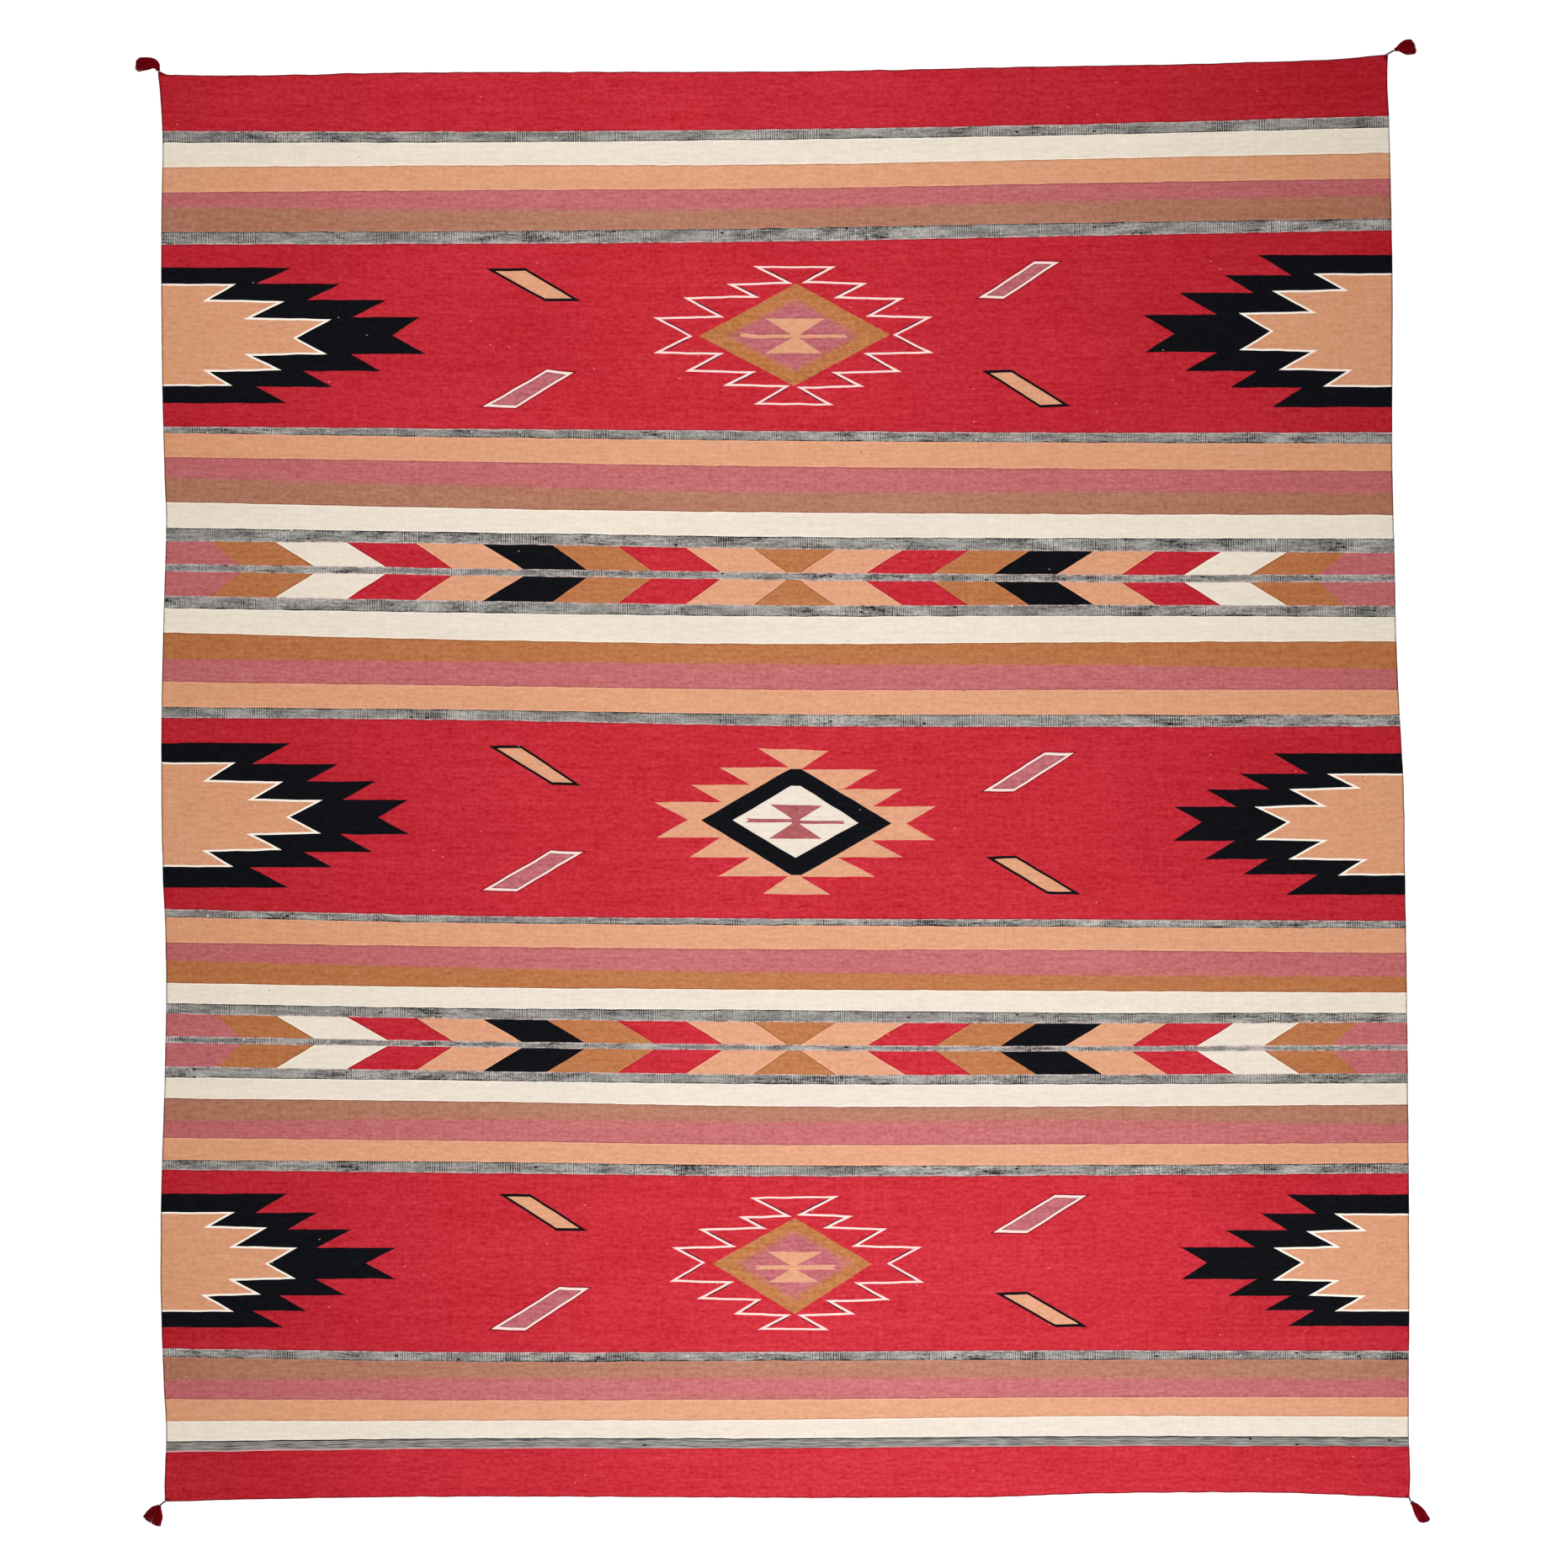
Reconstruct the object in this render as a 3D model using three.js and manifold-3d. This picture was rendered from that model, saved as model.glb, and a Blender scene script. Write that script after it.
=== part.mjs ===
// Flatweave rug of cotton, lying flat on a floor. It is one woven cloth, and at each corner
// a small tassel hangs on a short cord twisted from the corner's own warps.
// Millimetres, +Z up. +Y runs along the warps and +X along the wefts.

import * as THREE from 'three';
import { mergeVertices } from 'three/addons/utils/BufferGeometryUtils.js';
import Module from 'manifold-3d';

const wasm = await Module();
wasm.setup();

// Driving dimensions
const CLOTH_THICKNESS = 3;
const EDGE_ROUND = 1; // the selvedges and the woven ends are rounded by this much
const EDGE_STEPS = 2;
const SIDE_POINTS = 56; // points on each selvedge
const END_POINTS = 44; // points on each woven end
const GAP = 0.3; // clearance where two pieces meet

const CORD_RADIUS = 1.5;
const CORD_LOBE = 0.16; // how far the two plies stand out, as a share of the radius
const CORD_PITCH = 7; // length of one full turn of the twist
const CORD_SIDES = 10;
const CORD_STEPS_PER_TURN = 8;

const HEAD_SIDES = 14;
const STRAND_COLUMNS = 12;
const STRAND_LAYERS = 3;
const STRAND_STEPS = 4;
const STRAND_FILL = 0.8; // share of its own cell that a strand fills
const STRAND_START = 4; // how far inside the bound head the strands begin
const ROOT_WIDTH = 6.6; // width of the strands where they leave the head
const ROOT_HEIGHT = 6.4; // height of the strands where they leave the head
const PILE_HEIGHT = 5.7; // height of the strands where they lie on the floor
const BELLY_SHARE = 0.7; // share of a tassel's length at which it has opened out
const SETTLE_SHARE = 0.4; // share of a tassel's length in which its strands come down to the floor
const STRAND_SWAY = 0.07; // sideways wander of a strand, as a share of its cell
const LENGTH_SPREAD = 0.035; // uneven cutting of the strands, as a share of their length

// The four edges of the cloth, measured from the middle of the rug. The selvedges draw in
// a little at the striped bands, and the ends run slightly out of square.
const LEFT_SELVEDGE = [
  { along: 1574, across: -1390.5 },
  { along: 1559, across: -1388.7 },
  { along: 1532, across: -1386 },
  { along: 1473, across: -1382 },
  { along: 1248, across: -1383.4 },
  { along: 912, across: -1381.6 },
  { along: 687, across: -1376 },
  { along: 575, across: -1372.6 },
  { along: 463, across: -1375.6 },
  { along: 238, across: -1381.7 },
  { along: 126, across: -1383.2 },
  { along: -210, across: -1379.5 },
  { along: -323, across: -1374.5 },
  { along: -435, across: -1372.4 },
  { along: -659, across: -1376 },
  { along: -884, across: -1383 },
  { along: -1108, across: -1384.7 },
  { along: -1332, across: -1377.6 },
  { along: -1445, across: -1372.4 },
  { along: -1557, across: -1375.7 },
];
const RIGHT_SELVEDGE = [
  { along: 1592, across: 1340.4 },
  { along: 1473, across: 1344.2 },
  { along: 1248, across: 1349.8 },
  { along: 1136, across: 1351.6 },
  { along: 687, across: 1351.8 },
  { along: 463, across: 1357.3 },
  { along: 351, across: 1359.4 },
  { along: 126, across: 1369 },
  { along: 14, across: 1375.6 },
  { along: -210, across: 1379.7 },
  { along: -435, across: 1383.4 },
  { along: -771, across: 1387.2 },
  { along: -1108, across: 1389 },
  { along: -1445, across: 1388.5 },
  { along: -1557, across: 1390.6 },
];
const TOP_END = [
  { across: -1381, along: 1580.2 },
  { across: -1371.6, along: 1576.6 },
  { across: -1349, along: 1575.8 },
  { across: -1069, along: 1576 },
  { across: -956, along: 1579 },
  { across: -508, along: 1581.8 },
  { across: 53, along: 1583.8 },
  { across: 278, along: 1587.3 },
  { across: 502, along: 1592.7 },
  { across: 951, along: 1600.7 },
  { across: 1175, along: 1608.2 },
  { across: 1250, along: 1612 },
  { across: 1316, along: 1618.5 },
];
const BOTTOM_END = [
  { across: -1349, along: -1594 },
  { across: -1256, along: -1591 },
  { across: -1069, along: -1587.3 },
  { across: -956, along: -1585.4 },
  { across: 278, along: -1585.4 },
  { across: 502, along: -1583.3 },
  { across: 614, along: -1578.4 },
  { across: 839, along: -1574.4 },
  { across: 1063, along: -1574.4 },
  { across: 1250, along: -1579.8 },
  { across: 1362, along: -1585.6 },
];

// One row for each corner. The cord runs from the cloth's corner to the tassel's head, and
// the tassel lies on the floor, curling from the first heading to the second. Headings are
// in degrees, counted from +X towards +Y. The widths are those of the spread strands, and
// the slant makes the strands on the heading's left longer and those on its right shorter.
const CORNERS = [
  {
    name: 'top_left', cornerX: -1389.4, cornerY: 1584.8, cordX: -0.8, cordY: 4,
    headingStart: 118, headingEnd: 188, length: 53,
    bellyWidth: 28, endWidth: 33, slant: 0.06,
  },
  {
    name: 'top_right', cornerX: 1341.7, cornerY: 1621.9, cordX: 14.4, cordY: 8,
    headingStart: 24, headingEnd: 2, length: 46,
    bellyWidth: 33, endWidth: 31, slant: 0,
  },
  {
    name: 'bottom_left', cornerX: -1375.4, cornerY: -1594.2, cordX: -9.9, cordY: -7.7,
    headingStart: 232, headingEnd: 246, length: 44.5,
    bellyWidth: 41, endWidth: 47, slant: 0.05,
  },
  {
    name: 'bottom_right', cornerX: 1389.4, cornerY: -1586.7, cordX: 3.2, cordY: -7.8,
    headingStart: 316, headingEnd: 302, length: 55,
    bellyWidth: 25, endWidth: 26, slant: 0.08,
  },
];

// The bound head of a tassel: its radius along its length, from the cord to the strands
const HEAD_RADIUS = 4.6;
const HEAD_PROFILE = [
  { along: 0, radius: 2.1 },
  { along: 1.6, radius: 3.3 },
  { along: 4, radius: 4.3 },
  { along: 7, radius: HEAD_RADIUS },
  { along: 9.5, radius: 3.7 },
];

const CLOTH_LOOK = new THREE.MeshStandardMaterial({ color: 0xb0343f, roughness: 0.95, metalness: 0 });
const CORD_LOOK = new THREE.MeshStandardMaterial({ color: 0x8e8478, roughness: 0.9, metalness: 0 });
const TASSEL_LOOK = new THREE.MeshStandardMaterial({ color: 0x7c0716, roughness: 0.9, metalness: 0 });

const smooth = (share) => THREE.MathUtils.smoothstep(share, 0, 1);
const mix = THREE.MathUtils.lerp;

// A repeatable spread of values from -1 to 1, so that no two strands are alike
function spreadValue(index) {
  const value = Math.sin(index * 12.9898 + 4.1) * 43758.5453;
  return 2 * (value - Math.floor(value)) - 1;
}

// Joins rings of points into one closed body, with its faces pointing out. Each ring has
// the same number of points, turning anticlockwise as seen from beyond the last ring.
function ringBody(rings) {
  const sides = rings[0].length;
  const positions = rings.flat().flatMap((point) => [point.x, point.y, point.z]);
  const faces = [];
  for (let ring = 0; ring < rings.length - 1; ring += 1) {
    for (let side = 0; side < sides; side += 1) {
      const next = (side + 1) % sides;
      const low = ring * sides;
      const high = low + sides;
      faces.push(low + side, low + next, high + next);
      faces.push(low + side, high + next, high + side);
    }
  }
  const last = (rings.length - 1) * sides;
  for (let side = 1; side < sides - 1; side += 1) {
    faces.push(0, side + 1, side);
    faces.push(last, last + side, last + side + 1);
  }
  const geometry = new THREE.BufferGeometry();
  geometry.setAttribute('position', new THREE.Float32BufferAttribute(positions, 3));
  geometry.setIndex(faces);
  return geometry;
}

function solidFrom(geometry) {
  return new wasm.Manifold(new wasm.Mesh({
    numProp: 3,
    vertProperties: new Float32Array(geometry.attributes.position.array),
    triVerts: new Uint32Array(geometry.index.array),
  }));
}

function geometryFrom(solid) {
  const mesh = solid.getMesh();
  const geometry = new THREE.BufferGeometry();
  geometry.setAttribute('position', new THREE.BufferAttribute(mesh.vertProperties, 3));
  geometry.setIndex(new THREE.BufferAttribute(mesh.triVerts, 1));
  return geometry;
}

// One edge of the cloth as a smooth line between its two corners
function edgeLine(start, rows, end, count) {
  const points = rows.map((row) => new THREE.Vector3(row.across, row.along, 0));
  const curve = new THREE.CatmullRomCurve3([start, ...points, end], false, 'centripetal');
  return curve.getPoints(count).slice(0, -1).map((point) => new THREE.Vector2(point.x, point.y));
}

function makeCloth() {
  const corner = Object.fromEntries(
    CORNERS.map((row) => [row.name, new THREE.Vector3(row.cornerX, row.cornerY, 0)]),
  );
  const leftUp = [...LEFT_SELVEDGE].reverse();
  const rightDown = RIGHT_SELVEDGE;
  const topRight = [...TOP_END];
  const bottomLeft = [...BOTTOM_END].reverse();
  const outline = [
    ...edgeLine(corner.bottom_left, leftUp, corner.top_left, SIDE_POINTS),
    ...edgeLine(corner.top_left, topRight, corner.top_right, END_POINTS),
    ...edgeLine(corner.top_right, rightDown, corner.bottom_right, SIDE_POINTS),
    ...edgeLine(corner.bottom_right, bottomLeft, corner.bottom_left, END_POINTS),
  ];
  const flat = new THREE.ExtrudeGeometry(new THREE.Shape(outline), {
    depth: CLOTH_THICKNESS - 2 * EDGE_ROUND,
    bevelEnabled: true,
    bevelThickness: EDGE_ROUND,
    bevelSize: EDGE_ROUND,
    bevelOffset: -EDGE_ROUND,
    bevelSegments: EDGE_STEPS,
  });
  flat.translate(0, 0, EDGE_ROUND);
  flat.deleteAttribute('normal');
  flat.deleteAttribute('uv');
  const cloth = new THREE.Mesh(mergeVertices(flat), CLOTH_LOOK);
  cloth.name = 'rug_cloth';
  return cloth;
}

// The line along which a tassel lies, as seen from above. At a share of its length it
// gives the place, the heading and the width of the spread strands.
function tasselLine(row) {
  const start = THREE.MathUtils.degToRad(row.headingStart);
  const end = THREE.MathUtils.degToRad(row.headingEnd);
  const steps = 40;
  const stepLength = row.length / steps;
  const places = [new THREE.Vector2(row.cornerX + row.cordX, row.cornerY + row.cordY)];
  const headingAt = (share) => mix(start, end, smooth(share / 0.55));
  for (let step = 0; step < steps * 1.25; step += 1) {
    const heading = headingAt((step + 0.5) / steps);
    places.push(places[step].clone().add(
      new THREE.Vector2(Math.cos(heading), Math.sin(heading)).multiplyScalar(stepLength),
    ));
  }
  const rootShare = STRAND_START / row.length;
  const widthAt = (share) => {
    const opened = Math.max(0, (share - rootShare) / (BELLY_SHARE - rootShare));
    if (opened < 1) {
      return mix(ROOT_WIDTH, row.bellyWidth, Math.sin(opened * Math.PI / 2));
    }
    return mix(row.bellyWidth, row.endWidth, (share - BELLY_SHARE) / (1 - BELLY_SHARE));
  };
  return (share) => {
    const position = THREE.MathUtils.clamp(share * steps, 0, places.length - 1.001);
    const step = Math.floor(position);
    return {
      place: places[step].clone().lerp(places[step + 1], position - step),
      heading: headingAt(share),
      width: widthAt(share),
    };
  };
}

// A ring of points across a heading. Each section point is (to the left, up).
function ringAcross(place, heading, height, section) {
  return section.map(({ left, up }) => new THREE.Vector3(
    place.x - Math.sin(heading) * left,
    place.y + Math.cos(heading) * left,
    height + up,
  ));
}

function roundSection(radius, sides, shapeAt = () => 1) {
  return Array.from({ length: sides }, (_, side) => {
    const angle = (side / sides) * 2 * Math.PI;
    const reach = radius * shapeAt(angle);
    return { left: Math.cos(angle) * reach, up: Math.sin(angle) * reach };
  });
}

function boxSection(width, height) {
  return [
    { left: -width / 2, up: -height / 2 },
    { left: width / 2, up: -height / 2 },
    { left: width / 2, up: height / 2 },
    { left: -width / 2, up: height / 2 },
  ];
}

function makeHead(line, length) {
  const rings = HEAD_PROFILE.map(({ along, radius }) => {
    const { place, heading } = line(along / length);
    return ringAcross(place, heading, radius, roundSection(radius, HEAD_SIDES));
  });
  return ringBody(rings);
}

// One strand, from inside the head to its cut end on the floor. Its column says how far it
// lies to the side, and its layer how many strands it lies on.
function makeStrand(row, line, column, layer, layers) {
  const index = column * STRAND_LAYERS + layer;
  const side = sideOf(column);
  const startShare = STRAND_START / row.length;
  const endShare = 1 + row.slant * side + LENGTH_SPREAD * spreadValue(index);
  const rootCell = ROOT_HEIGHT / STRAND_LAYERS;
  const pileCell = PILE_HEIGHT / STRAND_LAYERS;
  const rootLift = layer - (layers - 1) / 2;
  const rings = [];
  for (let step = 0; step <= STRAND_STEPS; step += 1) {
    const share = mix(startShare, endShare, step / STRAND_STEPS);
    const settled = smooth((share - startShare) / SETTLE_SHARE);
    const { place, heading, width } = line(share);
    const cellWidth = width / STRAND_COLUMNS;
    const sway = STRAND_SWAY * cellWidth * spreadValue(index + 7 * step) * settled;
    const strandHeight = STRAND_FILL * mix(rootCell, pileCell, settled);
    const rootHeight = HEAD_RADIUS + rootLift * rootCell;
    const lyingHeight = layer * pileCell + strandHeight / 2;
    const leftwards = new THREE.Vector2(-Math.sin(heading), Math.cos(heading));
    rings.push(ringAcross(
      place.clone().addScaledVector(leftwards, side * width * 0.5 + sway),
      heading,
      mix(rootHeight, lyingHeight, settled),
      boxSection(STRAND_FILL * cellWidth, strandHeight),
    ));
  }
  return ringBody(rings);
}

// Where a column lies across the tassel, from -1 to 1
function sideOf(column) {
  return (2 * (column + 0.5)) / STRAND_COLUMNS - 1;
}

function makeTassel(row) {
  const line = tasselLine(row);
  let solid = solidFrom(makeHead(line, row.length));
  for (let column = 0; column < STRAND_COLUMNS; column += 1) {
    const fullness = Math.sqrt(1 - sideOf(column) ** 2);
    const layers = Math.max(1, Math.round(STRAND_LAYERS * fullness));
    for (let layer = 0; layer < layers; layer += 1) {
      solid = solid.add(solidFrom(makeStrand(row, line, column, layer, layers)));
    }
  }
  const tassel = new THREE.Mesh(geometryFrom(solid), TASSEL_LOOK);
  tassel.name = `tassel_${row.name}`;
  return tassel;
}

// The two-ply cord from the cloth's corner to the tassel's head
function makeCord(row) {
  const corner = new THREE.Vector2(row.cornerX, row.cornerY);
  const reach = new THREE.Vector2(row.cordX, row.cordY);
  const head = corner.clone().add(reach);
  const heading = THREE.MathUtils.degToRad(row.headingStart);
  const away = reach.clone().normalize();
  const arrive = new THREE.Vector2(Math.cos(heading), Math.sin(heading));
  const start = corner.clone().addScaledVector(away, GAP);
  const end = head.clone().addScaledVector(arrive, -GAP);
  const pull = start.distanceTo(end) / 3;
  const curve = new THREE.CubicBezierCurve(
    start,
    start.clone().addScaledVector(away, pull),
    end.clone().addScaledVector(arrive, -pull),
    end,
  );
  const turns = curve.getLength() / CORD_PITCH;
  const steps = Math.max(4, Math.ceil(turns * CORD_STEPS_PER_TURN));
  const height = CORD_RADIUS * (1 + CORD_LOBE) + 0.05;
  const rings = [];
  for (let step = 0; step <= steps; step += 1) {
    const share = step / steps;
    const tangent = curve.getTangentAt(share);
    const twist = share * turns * 2 * Math.PI;
    const plies = (angle) => 1 + CORD_LOBE * Math.cos(2 * (angle - twist));
    const section = roundSection(CORD_RADIUS, CORD_SIDES, plies);
    rings.push(ringAcross(curve.getPointAt(share), tangent.angle(), height, section));
  }
  const cord = new THREE.Mesh(ringBody(rings), CORD_LOOK);
  cord.name = `corner_cord_${row.name}`;
  return cord;
}

const rug = new THREE.Group();
rug.add(makeCloth());
for (const row of CORNERS) {
  rug.add(makeCord(row));
  rug.add(makeTassel(row));
}

// The origin is under the middle of the whole rug, tassels included
const middle = new THREE.Box3().setFromObject(rug).getCenter(new THREE.Vector3());
const placed = new THREE.Group();
rug.position.set(-middle.x, -middle.y, 0);
placed.add(rug);

export default placed;
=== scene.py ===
# Looks of a cotton flatweave rug that lies flat on a pale floor, seen from straight above.
# The cloth's pattern is woven in, so each yarn is a part of one sheet: first the stripes, then
# the chevron rows, then the serrated diamonds and the small leaning bars of the red bands.
# Scene units are metres. The tables are in millimetres from the middle of the rug:
# across runs to the right along the wefts, and along runs up the photo along the warps.
# Where the numbers come from: scratch scripts measured the cloth's edges and most of the
# stripes on the photo, and a fit gave the lamps and the first yarn colours. The motifs'
# corners were read from ruled enlargements.

import math
import random

import bpy
import numpy as np
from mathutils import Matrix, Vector, noise
from mathutils.geometry import delaunay_2d_cdt


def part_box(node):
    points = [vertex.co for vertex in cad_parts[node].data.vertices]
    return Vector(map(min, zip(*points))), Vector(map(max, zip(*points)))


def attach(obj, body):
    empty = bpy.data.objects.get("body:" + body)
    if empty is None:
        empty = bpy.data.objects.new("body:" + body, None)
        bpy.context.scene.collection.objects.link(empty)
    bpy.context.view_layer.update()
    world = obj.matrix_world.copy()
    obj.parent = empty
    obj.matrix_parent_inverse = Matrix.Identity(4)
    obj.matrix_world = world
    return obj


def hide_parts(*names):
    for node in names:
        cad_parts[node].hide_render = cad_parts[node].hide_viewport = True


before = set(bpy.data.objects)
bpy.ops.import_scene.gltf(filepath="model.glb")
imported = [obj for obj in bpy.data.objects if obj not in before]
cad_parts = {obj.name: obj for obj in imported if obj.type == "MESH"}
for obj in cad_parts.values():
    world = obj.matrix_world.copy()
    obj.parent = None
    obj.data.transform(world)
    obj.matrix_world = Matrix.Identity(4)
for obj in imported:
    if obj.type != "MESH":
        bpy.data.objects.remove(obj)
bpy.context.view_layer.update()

MM = 0.001

# The view: straight down from a studio height
VIEW_HEIGHT = 9.0
VIEW_FIELD = 3.4838  # side of the square of floor that the picture takes in
SENSOR = 36.0

# The cloth
SIDE_LINE = 1380  # each selvedge runs near this far across
THICKNESS = 3.0
EDGE_ROUND = 1.5
RIM_STEPS = 6
EDGE_STEP = 9  # spacing of the points on the cloth's edge
EDGE_BAND = 4.0  # the painted shade along the cloth's edge lies inside this width
WEFT_STEP = 13  # spacing of the points on the lines between yarns
FACE_STEP = 27  # spacing of the points inside one colour
LIFT = 0.7  # highest place where the cloth stands off the floor
WARP_PITCH = 2.6
WEFT_PITCH = 1.45
TIP_REACH = 3.0  # how much farther than its plain tip each step of a serration runs
RIM_BAKE_WIDTH = 8.0  # width that the rim takes beside the face in the flat picture of the rug
MIDLINE = 24  # where the middle motifs have their axis
NOISE_SEED = 1
PAST_SELVEDGE = 60  # how far past the side line a half diamond is drawn, for the outline to cut
LEVEL_SLOPE = 0.25  # an edge with less slope than this counts as level
EDGE_DARKNESS = 0.42  # what the cloth's edge keeps of its own lightness under the painted edge shade

# The woven outlines' widths over level edges and over slants
HALF_OUTLINE = (3.8, 3.4)
MIDDLE_OUTLINE = (3.9, 3.7)
BAR_OUTLINES = {"black": (6.2, 5.2), "blush": (5.8, 4.6)}
BAR_HALO = 2.6  # a ring of painted shade in deep red round a pale bar
BAR_SHADOW = 1.1  # the dark line inside a pale bar's outline
SLIT_WIDTH = 2.4

CORNERS = {
    "top_left": (-1389.4, 1584.8),
    "top_right": (1341.7, 1621.9),
    "bottom_left": (-1375.4, -1594.2),
    "bottom_right": (1389.4, -1586.7),
}

# Where the tassel's thread is sewn through each corner: points from the corner, mm.
CORNER_STITCHES = {
    "bottom_left": ((1.5, 1.8), (10, 2.5), (9, 9), (2, 8)),
    "bottom_right": ((-1.5, 2), (-1.8, 7.5), (-7, 7), (-7.5, 2.6)),
    "top_left": ((1.2, -2.5), (2.2, -11), (12, -12.5), (14, -8)),
    "top_right": ((-1.5, -2.5), (-11, -5), (-8, -12), (-1.8, -19)),
}

# The four edges as (place, reach): selvedges as (along, across), ends as (across, along).
# A scratch script found them on the photo, about every 112 mm and closer by the corners,
# and some were then left out.
LEFT_SELVEDGE = [
    (-1557, -1375.7), (-1445, -1372.4), (-1332, -1377.6), (-1108, -1384.7), (-884, -1383),
    (-659, -1376), (-435, -1372.4), (-323, -1374.5), (-210, -1379.5), (126, -1383.2),
    (238, -1381.7), (463, -1375.6), (575, -1372.6), (687, -1376), (912, -1381.6),
    (1248, -1383.4), (1473, -1382), (1532, -1386), (1559, -1388.7), (1574, -1390.5),
]
RIGHT_SELVEDGE = [
    (-1557, 1390.6), (-1445, 1388.5), (-1108, 1389), (-771, 1387.2), (-435, 1383.4),
    (-210, 1379.7), (14, 1375.6), (126, 1369), (351, 1359.4), (463, 1357.3),
    (687, 1351.8), (1136, 1351.6), (1248, 1349.8), (1473, 1344.2), (1592, 1340.4),
]
TOP_END = [
    (-1381, 1580.2), (-1371.6, 1576.6), (-1349, 1575.8), (-1069, 1576), (-956, 1579),
    (-508, 1581.8), (53, 1583.8), (278, 1587.3), (502, 1592.7), (951, 1600.7),
    (1175, 1608.2), (1250, 1612), (1316, 1618.5),
]
BOTTOM_END = [
    (-1349, -1594), (-1256, -1591), (-1069, -1587.3), (-956, -1585.4), (278, -1585.4),
    (502, -1583.3), (614, -1578.4), (839, -1574.4), (1063, -1574.4), (1250, -1579.8),
    (1362, -1585.6),
]

# The stripes from the top end down. Each row gives the yarn and how far along its upper edge
# runs at the five stations, because a handwoven stripe bows and tapers. A scratch script found
# most of these places on the photo by its colours, and some were corrected by eye.
STATIONS = (-1357, -695, -3, 689, 1344)
STRIPES = [
    ("red", 1700, 1700, 1700, 1700, 1700),
    ("ticked", 1450, 1449, 1454, 1466, 1484),
    ("cream", 1424, 1425, 1431, 1442, 1458),
    ("peach", 1370, 1374, 1376, 1389, 1402),
    ("rose", 1314, 1319, 1323, 1335, 1345),
    ("tan", 1282, 1275, 1278, 1295, 1306),
    ("ticked", 1226, 1228, 1235, 1247, 1256),
    ("red", 1198, 1200, 1205, 1218, 1230),
    ("ticked", 794, 789, 784, 780, 781),
    ("peach", 779, 770, 762, 758, 756),
    ("rose", 726, 716, 705, 700, 695),
    ("tan", 680, 662, 647, 649, 646),
    ("cream", 626, 612, 603, 599, 597),
    ("ticked", 569, 559, 549, 546, 545),
    ("chevrons", 539, 533, 522, 517, 513),
    ("ticked", 489, 479, 470, 465, 465),
    ("chevrons", 472, 463, 453, 448, 448),
    ("ticked", 418, 407, 397, 398, 396),
    ("cream", 390, 380, 372, 373, 371),
    ("ochre", 336, 320, 311, 315, 317),
    ("rose", 278, 272, 266, 264, 255),
    ("peach", 227, 218, 209, 209, 209),
    ("ticked", 171, 165, 155, 154, 154),
    ("red", 147, 142, 129, 127, 128),
    ("ticked", -278, -293, -299, -301, -304),
    ("peach", -296, -309, -314, -318, -321),
    ("rose", -352, -361, -367, -369, -375),
    ("ochre", -392, -408, -418, -425, -427),
    ("cream", -442, -452, -457, -460, -463),
    ("ticked", -487, -498, -502, -508, -508),
    ("chevrons", -511, -522, -529, -532, -530),
    ("ticked", -560, -571, -579, -582, -579),
    ("chevrons", -575, -585, -592, -594, -592),
    ("ticked", -627, -637, -645, -645, -642),
    ("cream", -652, -659, -667, -667, -665),
    ("tan", -698, -705, -716, -716, -712),
    ("rose", -749, -745, -750, -746, -756),
    ("peach", -786, -793, -802, -800, -798),
    ("ticked", -835, -839, -847, -846, -842),
    ("red", -857, -864, -871, -869, -865),
    ("ticked", -1254, -1262, -1261, -1258, -1259),
    ("tan", -1273, -1283, -1281, -1279, -1278),
    ("rose", -1325, -1319, -1318, -1319, -1321),
    ("peach", -1366, -1369, -1367, -1362, -1362),
    ("cream", -1415, -1414, -1412, -1404, -1405),
    ("lined", -1460, -1453, -1453, -1448, -1450),
    ("red", -1484, -1476, -1475, -1470, -1471),
]

# Each chevron band is two rows that mirror each other about a thin ticked line. A seam runs
# from its outer place, at the band's edge, to its inner place, at the ticked line.
CHEVRON_YARNS = (
    "rose", "ochre", "cream", "red", "peach", "black", "ochre", "red", "peach", "ochre",
    "peach", "red", "ochre", "black", "peach", "red", "cream", "ochre", "rose",
)
CHEVRON_BANDS = [
    {
        "upper": 14, "lower": 16,
        "outer": (-1274, -1130, -971, -818, -670, -514, -369, -219, -68,
                  115, 263, 410, 545, 688, 826, 971, 1117, 1248),
        "inner": (-1207, -1044, -885, -737, -579, -437, -294, -141, 5,
                  36, 182, 331, 466, 607, 749, 889, 1034, 1187),
    },
    {
        "upper": 30, "lower": 32,
        "outer": (-1261, -1127, -972, -816, -669, -526, -371, -217, -69,
                  117, 269, 416, 560, 707, 850, 999, 1144, 1273),
        "inner": (-1207, -1043, -881, -737, -583, -443, -288, -136, 7,
                  38, 184, 338, 480, 625, 771, 918, 1066, 1220),
    },
]

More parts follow.
